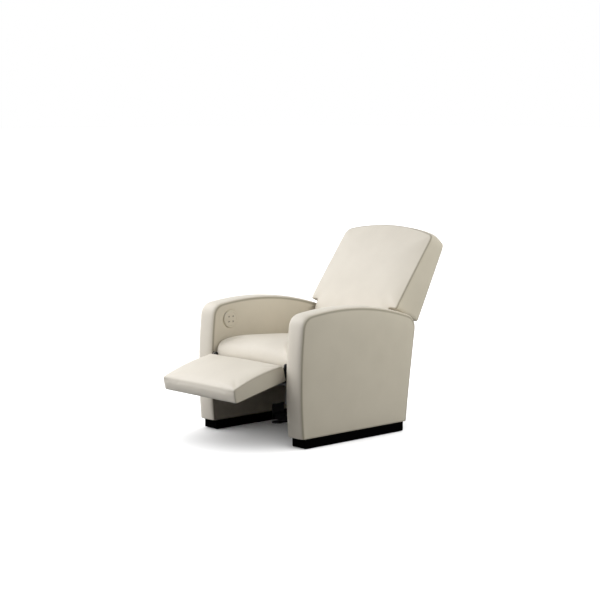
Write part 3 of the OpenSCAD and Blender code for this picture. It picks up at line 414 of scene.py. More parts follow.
def add_node(tree, kind, values=None, **settings):
    """A shader node with its settings. A value is a number or colour for a socket, or a socket to link."""
    node = tree.nodes.new("ShaderNode" + kind)
    for key, value in settings.items():
        setattr(node, key, value)
    for key, value in (values or {}).items():
        if hasattr(value, "links"):
            tree.links.new(value, node.inputs[key])
        else:
            node.inputs[key].default_value = value
    return node


def worked(tree, operation, *values):
    """What a sum, product or other operation makes of numbers or sockets."""
    return add_node(tree, "Math", dict(enumerate(values)), operation=operation).outputs[0]


def blend(tree, share, low, high):
    """A colour between two, each a colour or a socket."""
    return add_node(tree, "Mix", {0: share, 6: low, 7: high}, data_type="RGBA").outputs[2]


def give(group, colour, roughness, height):
    """Let a surface group give these sockets."""
    outputs = group.nodes.new("NodeGroupOutput").inputs
    for label, socket in (("Colour", colour), ("Roughness", roughness), ("Height", height)):
        group.links.new(socket, outputs[label])


# The leather has a pebbled grain over soft folds, a faint mottling of colour, a pressed line at each
# seam with grime and painted shade darkening the leather beside it, and a gloss that changes with the folds.
hide, given = surface_group("leather_hide", [
    ("Coordinates", "Vector", None), ("Colour", "Color", (0.8, 0.77, 0.7, 1)),
    ("Shade", "Color", (0.6, 0.55, 0.45, 1)), ("Seam Distance", "Float", 1.0), ("Seam Grime And Shade", "Float", 0.8),
    ("Grain Size", "Float", 1.0), ("Roughness", "Float", 0.45)])
where = given["Coordinates"]
warp = add_node(hide, "TexNoise", {"Vector": where, "Scale": 300.0, "Detail": 2.0})
warped = add_node(hide, "VectorMath", {0: warp.outputs["Color"], 1: (0.0012, 0.0012, 0.0012)},
                  operation="MULTIPLY")
spot = add_node(hide, "VectorMath", {0: where, 1: warped.outputs[0]}, operation="ADD")
pebble = add_node(hide, "TexVoronoi", {"Vector": spot.outputs[0],
                                       "Scale": worked(hide, "MULTIPLY", given["Grain Size"], 620.0)},
                  feature="DISTANCE_TO_EDGE")
crease = add_node(hide, "MapRange", {"Value": pebble.outputs["Distance"], "From Max": 0.22},
                  interpolation_type="SMOOTHSTEP")
folds = add_node(hide, "TexNoise", {"Vector": where, "Scale": 46.0, "Detail": 4.0, "Roughness": 0.6})
mottle = add_node(hide, "TexNoise", {"Vector": where, "Scale": 7.0, "Detail": 3.0})
mottled = add_node(hide, "MapRange", {"Value": mottle.outputs["Fac"], "From Min": 0.35, "From Max": 0.7,
                                      "To Max": 0.09})
pressed = add_node(hide, "MapRange", {"Value": given["Seam Distance"], "From Max": 0.0022},
                   interpolation_type="SMOOTHSTEP")
# Beside each seam the colour turns towards Shade: grime, together with painted shade that stands in for the
# shadow in the seam's crease.
near_seam = add_node(hide, "MapRange", {"Value": given["Seam Distance"], "From Max": 0.009, "To Min": 1.0,
                                        "To Max": 0.0})
seam_grime_and_shade = worked(hide, "MULTIPLY", near_seam.outputs[0], given["Seam Grime And Shade"])
shade_share = worked(hide, "MAXIMUM", mottled.outputs[0], seam_grime_and_shade)
rough_change = add_node(hide, "MapRange", {"Value": folds.outputs["Fac"], "To Min": -0.07, "To Max": 0.1})
grain_height = worked(hide, "MULTIPLY", crease.outputs[0], 0.35)
fold_height = worked(hide, "MULTIPLY", folds.outputs["Fac"], 0.55)
seam_height = worked(hide, "MULTIPLY", pressed.outputs[0], 2.2)
give(hide, blend(hide, shade_share, given["Colour"], given["Shade"]),
     worked(hide, "ADD", given["Roughness"], rough_change.outputs[0]),
     worked(hide, "ADD", worked(hide, "ADD", grain_height, fold_height), seam_height))


def surfaced(name, make, values, strength, distance):
    """A material whose colour, roughness and relief come from one node group, fed with values. Gives the
    material, its node tree, the group in it and the shader."""
    material = bpy.data.materials.new(name)
    material.use_nodes = True
    tree = material.node_tree
    shader = tree.nodes["Principled BSDF"]
    group = add_node(tree, "Group", node_tree=make)
    for key, value in values.items():
        group.inputs[key].default_value = value
    tree.links.new(group.outputs["Colour"], shader.inputs["Base Color"])
    tree.links.new(group.outputs["Roughness"], shader.inputs["Roughness"])
    relief = add_node(tree, "Bump", {"Height": group.outputs["Height"], "Strength": strength,
                                     "Distance": distance})
    tree.links.new(relief.outputs[0], shader.inputs["Normal"])
    return material, tree, group, shader


def leather(name, colour, shade, roughness, seam_grime_and_shade):
    """Leather that is pressed down along the seams of its case, and darker beside them with grime and painted
    seam shade.
    """
    material, tree, group, shader = surfaced(
        name, hide, {"Colour": (*colour, 1), "Shade": (*shade, 1), "Seam Grime And Shade": seam_grime_and_shade, "Grain Size": 1.0,
                     "Roughness": roughness}, strength=0.35, distance=0.0006)
    seam = add_node(tree, "Attribute", attribute_name="seam_distance")
    tree.links.new(add_node(tree, "TexCoord").outputs["Object"], group.inputs["Coordinates"])
    tree.links.new(seam.outputs["Fac"], group.inputs["Seam Distance"])
    shader.inputs["Specular IOR Level"].default_value = 0.25
    shader.inputs["Sheen Weight"].default_value = 0.15
    shader.inputs["Sheen Roughness"].default_value = 0.5
    return material


cream = (0.735, 0.68, 0.575)
cream_shade = (0.36, 0.32, 0.245)
rear_cream = (0.66, 0.625, 0.54)
# cream_leather (arms and back) and rear_leather carry strong grime and painted shade beside their seams;
# pad_leather (seat and legrest) carries a weak one.
cream_leather = leather("cream_leather", cream, cream_shade, roughness=0.45, seam_grime_and_shade=0.95)
pad_leather = leather("pad_leather", cream, cream_shade, roughness=0.45, seam_grime_and_shade=0.4)
rear_leather = leather("rear_leather", rear_cream, cream_shade, roughness=0.5, seam_grime_and_shade=0.8)

thread = bpy.data.materials.new("cream_thread")
thread.use_nodes = True
tree = thread.node_tree
twist = add_node(tree, "TexWave", {"Vector": add_node(tree, "TexCoord").outputs["Object"], "Scale": 900.0,
                                   "Distortion": 1.0}, wave_type="BANDS", bands_direction="DIAGONAL")
ply = blend(tree, twist.outputs["Fac"], (0.50, 0.46, 0.38, 1), (0.72, 0.68, 0.59, 1))
tree.links.new(ply, tree.nodes["Principled BSDF"].inputs["Base Color"])
tree.nodes["Principled BSDF"].inputs["Roughness"].default_value = 0.6

arm_counts = (76, 96)
control_centre = (-428.0, 570.0)
control_clear_r = 43.0
control_flat_r = 62.0
control_dip = 4.0
control_dip_reach = 18.0
control_fold = 5.0


def arm_sides(out):
    """The arm's outline stood out from its side seam by out, on the side view's plane."""
    a, b, c, d = arm_corner
    return wrapped_outline((a[0] - out, a[1]), (b[0] - out, b[1] + out), (c[0] + out, c[1] + out),
                           (d[0] + out, d[1]), (arm_front_bow, arm_top_bow, 0),
                           (arm_front_round, arm_rear_round), arm_counts)


def side_view(sides, x, front=arm_front):
    """An outline of the side view at a place across the seat. Its depths count from front."""
    return [np.column_stack([np.full(len(s), x), s[:, 0] + front, s[:, 1]]) for s in sides]


def loop_points(sides):
    """The points of four sides in one round, each corner once."""
    return np.concatenate([s[:-1] for s in sides])


def on_seams(obj, rows):
    """Which points lie on the two sewn rows."""
    held = np.zeros(len(obj.data.vertices), bool)
    held[rows[1]] = True
    held[rows[-2]] = True
    return held


def stitch_lines(obj, rows, low):
    """Where the topstitching beside both seams runs, from a height upward."""
    lines = []
    for k in stitch_rows:
        line, way = places(obj, rows[k])
        above = line[:, 2] > low
        lines.append((line[above], way[above]))
    return lines


def round_hole(arm, centre, radius, dip):
    """Cut the leather of the inner face round the control module, sink it there and fold its edge in."""
    mesh = bmesh.new()
    mesh.from_mesh(arm.data)
    inner = -(arm_inner_x + 2) / 1000

    def from_centre(co):
        return np.hypot(co.y * 1000 - centre[0], co.z * 1000 - centre[1])

    gone = [f for f in mesh.faces if f.calc_center_median().x > inner
            and from_centre(f.calc_center_median()) < radius]
    bmesh.ops.delete(mesh, geom=gone, context="FACES")
    edge = {v for e in mesh.edges if e.is_boundary for v in e.verts}
    for v in mesh.verts:
        away = from_centre(v.co)
        if v.co.x < inner or away > radius + control_dip_reach:
            continue
        if v in edge:
            v.co.y = (centre[0] + (v.co.y * 1000 - centre[0]) * radius / away) / 1000
            v.co.z = (centre[1] + (v.co.z * 1000 - centre[1]) * radius / away) / 1000
            away = radius
        v.co.x -= dip * max(0.0, 1 - (away - radius) / control_dip_reach) ** 2 / 1000
    rim = [e for e in mesh.edges if e.is_boundary]
    for v in bmesh.ops.extrude_edge_only(mesh, edges=rim)["geom"]:
        if isinstance(v, bmesh.types.BMVert):
            v.co.x -= control_fold / 1000
    mesh.to_mesh(arm.data)
    mesh.free()


inner_panel, cells, loop = woven(side_view(arm_sides(-arm_panel_inset), arm_inner_x - arm_panel_proud))
outer_panel = woven(side_view(arm_sides(-arm_panel_inset), arm_inner_x + arm_width + arm_panel_proud))[0]
profile = arm_rings + [(arm_width - d, out) for d, out in arm_rings[-2::-1]]
profile = [(0.0, -arm_seam_drop)] + profile + [(arm_width, -arm_seam_drop)]
rings = [loop_points(side_view(arm_sides(out), arm_inner_x + d)) for d, out in profile]
left_arm, arm_rows = boxed("left_arm_leather", inner_panel, outer_panel, cells, loop, rings)
outward(left_arm)
co = points_of(left_arm)
inner_face = co[:, 0] < arm_inner_x + 1
near_control = np.hypot(co[:, 1] - control_centre[0], co[:, 2] - control_centre[1]) < control_flat_r
pinned = on_seams(left_arm, arm_rows) | (co[:, 2] < arm_floor + arm_hem) | (near_control & inner_face)
inflate(left_arm, pinned, np.where(inner_face, arm_inner_reach, arm_outer_reach), arm_pressure)
right_arm = placed("right_arm_leather", left_arm.data.copy())
move_points(right_arm, points_of(right_arm) * (-1, 1, 1))
right_arm.data.flip_normals()

for arm, side in ((left_arm, "left"), (right_arm, "right")):
    refined(arm)
    if arm is right_arm:
        round_hole(arm, control_centre, control_clear_r, control_dip)
    arm.data.materials.append(cream_leather)
    thread_row = stitched(side + "_arm_stitching", stitch_lines(arm, arm_rows, arm_floor + arm_stitch_start))
    thread_row.data.materials.append(thread)
    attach(arm, "base")
    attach(thread_row, "base")
    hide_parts(side + "_arm_cover")


# Seat cushion. Foam in cream leather, drawn over a large round nose at the front and flat at the rear,
# with a sewn side panel at each arm. It rests on the plywood deck and its springs, which lie in a
# hollow of its underside.
pad_half = 272.0
# Where a pad's first columns lie, in from its seam, and how many more are spread over half of it.
pad_near = [0.8, 2.2, 4.5, 8.0, 12.0]
pad_wide_start = 20.0
pad_wide_count = 33
pad_edge = 5.0
pad_edge_r = 12.0
pad_panel_drop = 6.0
pad_panel_proud = 0.6
pad_panel_reach = 3.0
seam_drop = 2.0
drawn_crown = 0.6
seat_front_low = 13.0
seat_front_high = 10.0
seat_nose_z = 484.0
seat_rear = 590.0
seat_rear_z = 446.0
seat_top_bow = 5.0
seat_nose_round = (80.0, 104.0)
seat_rear_round = (26.0, 26.0)
seat_crown = 12.0
seat_reach = 14.0
seat_side_swell = 5.0
seat_swell_run = 30.0
seat_swell_low = 414.0
seat_swell_rise = 24.0
seat_swell_rear = -80.0
seat_swell_fade = 120.0
seat_stitch_start = 5.0
deck_front = 36.0
deck_rear = 580.0
deck_half = 260.0
deck_low = 380.0
deck_top = 404.5
seat_pulls = (8.0, 4.0, 3.0)
seat_counts = (15, 72)


def pad_columns(board_half):
    """Places across a pad, close together at its seams and at the edge of the board under it."""
    near = pad_near + [pad_half - board_half, pad_half - board_half + 2]
    wide = list(np.linspace(pad_wide_start, pad_half, pad_wide_count))
    half_row = sorted(set(near + [w for w in wide if all(abs(w - e) > 3 for e in near)]))
    return np.array([d - pad_half for d in half_row] + [pad_half - d for d in half_row[-2::-1]])


def pad_case(name, sides, board_half, crown, pulls, front=arm_front):
    """A pad's case: a panel at each side, a sewn row at each, and a row for every place across the pad.
    Its ends are drawn in by pulls: at the panels, at the sewn rows and at the edges of the top."""
    at_panel, at_seam, at_edge = pulls
    panels = [woven(side_view(sides(-pad_edge - pad_panel_drop, at_panel), x, front))
              for x in (-pad_half - pad_panel_proud, pad_half + pad_panel_proud)]
    first, last = [loop_points(side_view(sides(-pad_edge - seam_drop, at_seam), x, front))
                   for x in (-pad_half, pad_half)]
    rings = [first]
    for x in pad_columns(board_half):
        edge = max(0.0, 1 - (pad_half - abs(x)) / pad_edge_r) ** 2
        rise = crown * drawn_crown * (1 - (x / pad_half) ** 2) - pad_edge * edge
        rings.append(loop_points(side_view(sides(rise, at_edge * edge), x, front)))
    case, rows = boxed(name, panels[0][0], panels[1][0], panels[0][1], panels[0][2], rings + [last])
    outward(case)
    return case, rows


def seat_sides(rise, pull):
    """Side outline of the seat, with its top raised and its ends drawn in."""
    return wrapped_outline((seat_front_low + pull, deck_low), (seat_front_high + pull, seat_nose_z + rise),
                           (seat_rear - pull, seat_rear_z + rise), (seat_rear - pull, deck_low),
                           (0, seat_top_bow + rise / 3, 0), (seat_nose_round, seat_rear_round), seat_counts)


seat, seat_rows = pad_case("seat_leather", seat_sides, deck_half, seat_crown, seat_pulls)
co = points_of(seat)
low = co[:, 2] < deck_low + 0.5
reach = np.where(np.abs(co[:, 0]) > pad_half - 1, pad_panel_reach, seat_reach)
inflate(seat, on_seams(seat, seat_rows) | low, reach)
co = points_of(seat)
over_deck = (co[:, 1] > arm_front + deck_front) & (co[:, 1] < arm_front + deck_rear)
co[low & over_deck & (np.abs(co[:, 0]) < deck_half + 0.5), 2] = deck_top
side_swell = (np.clip((np.abs(co[:, 0]) - pad_half + seat_swell_run) / seat_swell_run, 0, 1) ** 2
              * np.clip((co[:, 2] - seat_swell_low) / seat_swell_rise, 0, 1)
              * np.clip((seat_swell_rear - co[:, 1]) / seat_swell_fade, 0, 1))
co[:, 0] += np.sign(co[:, 0]) * seat_side_swell * side_swell
move_points(seat, co)
refined(seat)
seat.data.materials.append(pad_leather)
seat_thread = stitched("seat_stitching", stitch_lines(seat, seat_rows, deck_low + seat_stitch_start))
seat_thread.data.materials.append(thread)
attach(seat, "base")
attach(seat_thread, "base")
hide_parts("seat_cushion")


# Legrest pad. A wedge of foam in cream leather on a plywood board, folded sharply at its front edge
# and round at its rear, with a flat sewn panel at each side. The board shows from below.
leg_pivot = (-537.0, 399.0)
leg_tilt = radians(13)
leg_back = 20.4
leg_length = 329.0
leg_low_z = -67.9
leg_front_height = 70.0
leg_rear_height = 84.0
leg_front_bow = 1.5
leg_top_bow = 11.0
leg_front_round = (9.0, 9.0)
leg_rear_round = (26.0, 26.0)
leg_crown = 7.0
leg_top_reach = 9.0
leg_fold = 17.0
leg_fold_reach = 4.0
leg_end_reach = 0.6
leg_end_slope = 0.18
leg_board_half = 262.0
leg_board_t = 15.0
leg_board_margin = 14.0
leg_pulls = (6.0, 2.5, 2.0)
leg_counts = (10, 40)


def leg_place(along, height):
    """A place of the legrest's side view, counted forward from its rear end and up from its underside."""
    return (-leg_back - along, height + leg_low_z)


def leg_sides(rise, pull):
    """Side outline of the legrest, with its top raised and its ends drawn in."""
    return wrapped_outline(leg_place(leg_length - pull, 0),
                           leg_place(leg_length - pull, leg_front_height + rise / 2),
                           leg_place(pull, leg_rear_height + rise), leg_place(pull, 0),
                           (leg_front_bow, leg_top_bow, 0), (leg_front_round, leg_rear_round), leg_counts)


def turned(co, pivot, angle):
    """Points drawn about a pivot in the side view, turned and put in their place."""
    y, z = co[:, 1], co[:, 2]
    return np.column_stack([co[:, 0], pivot[0] + y * cos(angle) - z * sin(angle),
                            pivot[1] + y * sin(angle) + z * cos(angle)])


legrest, leg_rows = pad_case("legrest_leather", leg_sides, leg_board_half, leg_crown, leg_pulls, front=0)
co = points_of(legrest)
low = co[:, 2] < leg_low_z + 0.5
along = -leg_back - co[:, 1]
reach = np.where(along > leg_length - leg_fold, leg_fold_reach, leg_top_reach)
reach[np.abs(co[:, 0]) > pad_half - 1] = pad_panel_reach
reach = np.minimum(reach, leg_end_reach + leg_end_slope * np.maximum(0, along))
inflate(legrest, on_seams(legrest, leg_rows) | low, reach)
co = points_of(legrest)
along = -leg_back - co[:, 1]
over_board = (along > leg_board_margin - 1) & (along < leg_length - leg_board_margin + 1)
co[low & over_board & (np.abs(co[:, 0]) < leg_board_half + 0.5), 2] = leg_low_z + leg_board_t
move_points(legrest, turned(co, leg_pivot, leg_tilt))
refined(legrest)
legrest.data.materials.append(pad_leather)
# The topstitching runs up the front, over the top and down the rear, and leaves out the underside.
wrapped = slice(2, 2 * leg_counts[0] + leg_counts[1] - 1)
lines = [places(legrest, leg_rows[k][wrapped]) for k in stitch_rows]
leg_thread = stitched("legrest_stitching", lines)
leg_thread.data.materials.append(thread)
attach(legrest, "legrest")
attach(leg_thread, "legrest")
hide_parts("legrest_pad")


# Back cushion. Thick foam in cream leather: a crowned front panel sewn to a side band that runs up
# between the arms, steps out over them and follows the arched top. It thins towards the head. The
# steel back frame and its rear panel lie in a pocket of its rear face.
back_pivot = (60.0, 400.0)
back_lean = radians(-27)
back_low = 15.0
back_notch = 254.0
back_half_low = 270.0
back_half_high = 320.0
back_rear = 183.0
back_top_h = 746.0
back_arch_r = 1090.0
wing_r = 26.0
wing_foot_r = 10.0
back_foot_depth = 11.0
back_hip_depth = -15.0
back_head_depth = 73.0
back_blend = 12.0
back_crown = 12.0
back_drawn_crown = 0.55
back_crown_run = 60.0
back_panel_inset = 4.0
back_seam_inset = 0.8
back_edge = 10.5
back_edge_r = 62.0
back_seam_turn = 1.4
back_edge_turn = 3.4
back_rear_turn = 10.0
# Inset, and depth from the rear face, of the rows that turn the rear edge.
back_rear_rows = ((0.5, 5.5), (1.6, 2.6), (3.0, 1.6))
back_reach = 12.0
back_reach_run = 5.0
back_edge_reach = 1.5
back_band_reach = 2.5
back_ledge_reach = 1.0
back_ledge_run = 14.0
back_stitch_row = 3
band_rows = 17
band_pull = 1.5
top_swell = 12.0
top_swell_run = 25.0
top_swell_low = 30.0
top_flat_half = 20.0
top_swell_half = 250.0
pocket_half = 240.0
pocket_top = 655.0
pocket_depth = 147.0
shelf_fall = 60.0
back_inner = 232.0


def back_face(h):
    """Depth of the front face at a height: two straight runs, blended where the wings begin."""
    low = back_hip_depth + (back_foot_depth - back_hip_depth) * (back_notch - h) / (back_notch - back_low)
    high = back_hip_depth + (back_head_depth - back_hip_depth) * (h - back_notch) / (back_top_h - back_notch)
    return (low + high + np.sqrt((low - high) ** 2 + back_blend ** 2)) / 2


def back_top(x):
    """Height of the arched top at a place across the back, with its round corners."""
    e = np.maximum(0, np.abs(x) - back_half_high + wing_r)
    return back_top_h - x * x / (2 * back_arch_r) - (wing_r - np.sqrt(np.maximum(0, wing_r ** 2 - e ** 2)))


# Places of the panel's columns from the middle out: up to the edge of the pocket, to the edge of the
# lower part, and over the wing.
half_columns = list(np.linspace(0, back_inner, 30)) + [240.0, 242.0, 250.0, 258.0, 264.0, 270.0]
wing_columns = [275.0, 282.0, 289.0, 296.0, 303.0, 309.0, 313.5, 317.0, 320.0]
columns = np.array([-x for x in (half_columns + wing_columns)[:0:-1]] + half_columns + wing_columns)
narrow = np.abs(columns) < back_half_low + 1
low_steps, mid_steps, top_steps = 30, 50, 10
levels = low_steps + mid_steps + 1 + top_steps
back_number = np.full((len(columns), levels + 1), -1)
back_number[narrow, :] = 0
back_number[:, low_steps:] = 0
back_number[back_number == 0] = np.arange((back_number == 0).sum())


def back_lattice(inset):
    """Places across and up the back panel, drawn in from its outline by inset."""
    out = np.zeros((back_number.max() + 1, 2))
    for i, x in enumerate(columns):
        size = abs(x)
        edge = back_half_low if size <= back_half_low else back_half_high
        share = np.clip((size - back_inner) / (edge - back_inner), 0, 1)
        new_x = np.sign(x) * (size - inset * share)
        top = back_top(x) - inset
        beside_pocket = max(0.0, (size - pocket_half - 2) / (back_half_high - pocket_half - 2))
        shelf = pocket_top - shelf_fall * beside_pocket ** 1.5
        foot = back_notch
        if size > back_half_low:
            e = max(0.0, size - back_half_high + wing_foot_r)
            foot = back_notch + inset + wing_foot_r - np.sqrt(max(0.0, wing_foot_r ** 2 - e ** 2))
        heights = np.concatenate([
            np.linspace(back_low + inset, back_notch, low_steps + 1)[:-1],
            np.linspace(foot, shelf, mid_steps + 1), np.linspace(shelf + 2, top, top_steps + 1)])
        for j in range(levels + 1):
            if back_number[i, j] >= 0:
                out[back_number[i, j]] = (new_x, heights[j])
    return out


def back_loop():
    """The point numbers of the lattice's outline, once round from its lower left corner."""
    wide, cols = len(wing_columns), len(columns)
    top, notch = levels, low_steps
    trail = [(i, 0) for i in range(wide, cols - wide)]
    trail += [(cols - wide - 1, j) for j in range(1, notch + 1)]
    trail += [(i, notch) for i in range(cols - wide, cols)]
    trail += [(cols - 1, j) for j in range(notch + 1, top + 1)]
    trail += [(i, top) for i in range(cols - 2, -1, -1)]
    trail += [(0, j) for j in range(top - 1, notch - 1, -1)]
    trail += [(i, notch) for i in range(1, wide + 1)]
    trail += [(wide, j) for j in range(notch - 1, 0, -1)]
    return np.array([back_number[i, j] for i, j in trail])


loop = back_loop()
cells = []
for i in range(len(columns) - 1):
    for j in range(levels):
        quad = [back_number[i, j], back_number[i + 1, j], back_number[i + 1, j + 1], back_number[i, j + 1]]
        if min(quad) >= 0:
            cells.append(quad)
cells = np.array(cells)
panel = back_lattice(back_panel_inset)
seam_line = back_lattice(back_seam_inset)[loop]
tree = KDTree(len(seam_line))
for k, p in enumerate(seam_line):
    tree.insert((p[0], p[1], 0), k)
tree.balance()
from_seam = np.array([tree.find((p[0], p[1], 0))[2] for p in panel])
spread = np.clip(1 - (panel[:, 0] / back_half_high) ** 2, 0, 1)
front_depth = (back_face(panel[:, 1])
               - back_crown * back_drawn_crown * spread * np.clip(from_seam / back_crown_run, 0, 1)
               + back_edge * np.maximum(0, 1 - from_seam / back_edge_r) ** 2.2)
front_panel = np.column_stack([panel[:, 0], front_depth, panel[:, 1]])
rear_panel = np.column_stack([panel[:, 0], np.full(len(panel), back_rear), panel[:, 1]])
rings = []
for inset, turn in ((back_seam_inset, back_seam_turn), (0.0, back_edge_turn)):
    line = back_lattice(inset)[loop]
    rings.append(np.column_stack([line[:, 0], back_face(line[:, 1]) + back_edge + turn, line[:, 1]]))
first = rings[-1][:, 1]
last = back_rear - back_rear_turn
for share in np.linspace(0, 1, band_rows + 1)[1:]:
    side = back_lattice(band_pull * 4 * share * (1 - share))[loop]
    on_top = np.clip((side[:, 1] - back_top(side[:, 0]) + top_swell_low) / top_swell_run, 0, 1)
    out_wide = np.clip((np.abs(side[:, 0]) - top_flat_half) / (top_swell_half - top_flat_half), 0, 1)
    bulge = 4 * share ** 0.7 * (1 - share ** 0.7)
    swell = top_swell * out_wide * on_top * bulge
    rings.append(np.column_stack([side[:, 0], first + (last - first) * share, side[:, 1] + swell]))
for inset, depth in back_rear_rows:
    side = back_lattice(inset)[loop]
    rings.append(np.column_stack([side[:, 0], np.full(len(side), back_rear - depth), side[:, 1]]))
back, back_rows = boxed("back_leather", front_panel, rear_panel, cells, loop, rings)
outward(back)
co = points_of(back)
at_rear = co[:, 1] > back_rear - 3
reach = np.full(len(co), back_band_reach)
reach[:len(panel)] = np.clip(from_seam / back_reach_run, back_edge_reach, back_reach)
on_ledge = np.abs(co[:, 2] - back_notch) < back_ledge_run
on_ledge &= np.abs(co[:, 0]) > back_half_low - back_ledge_run
reach[on_ledge] = back_ledge_reach
inflate(back, on_seams(back, back_rows) | at_rear, reach)
co = points_of(back)
on_rear_panel = co[:, 1] > back_rear - 0.5
in_pocket = on_rear_panel & (np.abs(co[:, 0]) < pocket_half + 1) & (co[:, 2] < pocket_top + 1)
co[in_pocket, 1] = pocket_depth
move_points(back, turned(co, back_pivot, back_lean))
refined(back)
back.data.materials.append(cream_leather)
back_thread = stitched("back_stitching", [places(back, back_rows[back_stitch_row])])
back_thread.data.materials.append(thread)
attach(back, "back")
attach(back_thread, "back")
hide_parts("back_cushion")


# Rear panel of the back. A thin board padded and covered in leather of a slightly darker cream,
# pressed into the pocket of the back cushion and held on the steel frame, with a sewn rim.
rear_half = 238.5
rear_low = 16.0
rear_high = 653.0
rear_front_depth = 148.0
rear_face_depth = 181.0
rear_front_inset = 4.0
rear_panel_inset = 7.0
rear_panel_proud = 1.2
rear_crown = 2.2
rear_counts = (80, 60)
# Inset and depth of the rows from the front edge of the side, round its rear edge, to the rear seam.
rear_rows_at = ((0.0, rear_front_depth + 2), (0.0, rear_face_depth - 22), (0.0, rear_face_depth - 9),
                (0.2, rear_face_depth - 4), (1.2, rear_face_depth - 1.6), (3.0, rear_face_depth - 0.4),
                (4.6, rear_face_depth - 0.8))


def rear_sides(inset):
    """The rear panel's outline in four sides, drawn in by inset."""
    a = np.array((-rear_half + inset, rear_low + inset))
    c = np.array((rear_half - inset, rear_high - inset))
    b, d = np.array((a[0], c[1])), np.array((c[0], a[1]))
    return [spaced(side, n) for side, n in zip(([a, b], [b, c], [c, d], [d, a]), rear_counts * 2)]


def rear_view(sides, depth):
    """An outline drawn across and up the back, at one depth."""
    return [np.column_stack([s[:, 0], np.full(len(s), depth), s[:, 1]]) for s in sides]


front_side, cells, loop = woven(rear_view(rear_sides(rear_front_inset), rear_front_depth))
rear_side = woven(rear_view(rear_sides(rear_panel_inset), rear_face_depth + rear_panel_proud))[0]
across = rear_side[:, 0] / rear_half
upward = (rear_side[:, 2] - rear_low) / (rear_high - rear_low) * 2 - 1
rear_side[:, 1] += rear_crown * (1 - across ** 4) * (1 - upward ** 4)
rings = [loop_points(rear_view(rear_sides(inset), depth)) for inset, depth in rear_rows_at]
rear_case = boxed("back_rear_leather", front_side, rear_side, cells, loop, rings, seams=(-1,))[0]
outward(rear_case)
move_points(rear_case, turned(points_of(rear_case), back_pivot, back_lean))
refined(rear_case)
rear_case.data.materials.append(rear_leather)
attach(rear_case, "back")
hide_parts("back_rear_panel")


# Plinths and rear valance. Each arm stands on a low hollow box of board in black laminate, screwed up
# into the arm frame from below; a board in the same finish closes the rear between the arms. The coat
# with its grain, scuffs and rubbed edges also serves the other hard pieces.
coat, given = surface_group("worn_coat", [
    ("Coordinates", "Vector", None), ("Colour", "Color", (0.02, 0.02, 0.02, 1)),
    ("Worn Colour", "Color", (0.1, 0.1, 0.1, 1)), ("Wear", "Float", 0.5), ("Grain Scale", "Float", 900.0),
    ("Edge Radius", "Float", 0.0012), ("Roughness", "Float", 0.5)])
where = given["Coordinates"]
eased = add_node(coat, "Bevel", {"Radius": given["Edge Radius"]}, samples=6)
flat_way = add_node(coat, "NewGeometry")
alike = add_node(coat, "VectorMath", {0: eased.outputs[0], 1: flat_way.outputs["Normal"]},
                 operation="DOT_PRODUCT")
edges = add_node(coat, "MapRange", {"Value": alike.outputs["Value"], "From Min": 0.99, "From Max": 0.86})
rubs = add_node(coat, "TexNoise", {"Vector": where, "Scale": 55.0, "Detail": 5.0, "Roughness": 0.65})
rubbed = add_node(coat, "MapRange", {"Value": rubs.outputs["Fac"], "From Min": 0.42, "From Max": 0.62})
scuffs = add_node(coat, "TexNoise", {"Vector": where, "Scale": 16.0, "Detail": 6.0, "Roughness": 0.7})
scuffed = add_node(coat, "MapRange", {"Value": scuffs.outputs["Fac"], "From Min": 0.5, "From Max": 0.8,
                                      "To Max": 0.22})
peel = add_node(coat, "TexNoise", {"Vector": where, "Scale": given["Grain Scale"], "Detail": 2.0})
gloss_change = add_node(coat, "MapRange", {"Value": scuffs.outputs["Fac"], "To Min": -0.1, "To Max": 0.12})
worn = worked(coat, "MULTIPLY", edges.outputs[0], rubbed.outputs[0])
most = worked(coat, "MAXIMUM", worn, scuffed.outputs[0])
give(coat, blend(coat, worked(coat, "MULTIPLY", most, given["Wear"]), given["Colour"], given["Worn Colour"]),
     worked(coat, "ADD", given["Roughness"], gloss_change.outputs[0]), peel.outputs["Fac"])


def finish_of(name, colour, worn_colour, roughness, wear=0.5, grain=900.0, bump=0.15, metallic=0.0, gloss=0.5,
              stretch=(1, 1, 1)):
    """A coated, moulded or plated surface: its grain, its scuffs and its rubbed edges."""
    material, tree, group, shader = surfaced(
        name, coat, {"Colour": (*colour, 1), "Worn Colour": (*worn_colour, 1), "Wear": wear,
                     "Grain Scale": grain, "Roughness": roughness}, strength=bump, distance=0.0003)
    drawn = add_node(tree, "Mapping", {"Vector": add_node(tree, "TexCoord").outputs["Object"],
                                       "Scale": stretch})
    tree.links.new(drawn.outputs[0], group.inputs["Coordinates"])
    shader.inputs["Metallic"].default_value = metallic
    shader.inputs["Specular IOR Level"].default_value = gloss
    return material


def dress(names, material):
    """Give solids of the frame their finish."""
    for name in names:
        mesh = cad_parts[name].data
        mesh.materials.clear()
        mesh.materials.append(material)


plinth_black = finish_of("plinth_black", (0.0025, 0.0025, 0.0027), (0.02, 0.019, 0.018), 0.6, wear=0.4,
                         gloss=0.0, bump=0.08)
dress(["left_plinth", "right_plinth", "rear_valance"], plinth_black)


# Glides and bushes. Turned from nylon: three glides under each plinth, and a flanged bush in the side
# plate at each end of the two pivots. The back's bushes are black, all others are natural white.
nylon = finish_of("nylon", (0.60, 0.58, 0.52), (0.30, 0.28, 0.24), 0.42, wear=0.6, grain=500.0)
dress(["floor_glides", "left_leg_bush", "right_leg_bush"], nylon)
bush_nylon = finish_of("bush_nylon", (0.035, 0.035, 0.035), (0.09, 0.09, 0.09), 0.5, gloss=0.3,
                       grain=500.0)
dress(["left_back_bush", "right_back_bush"], bush_nylon)


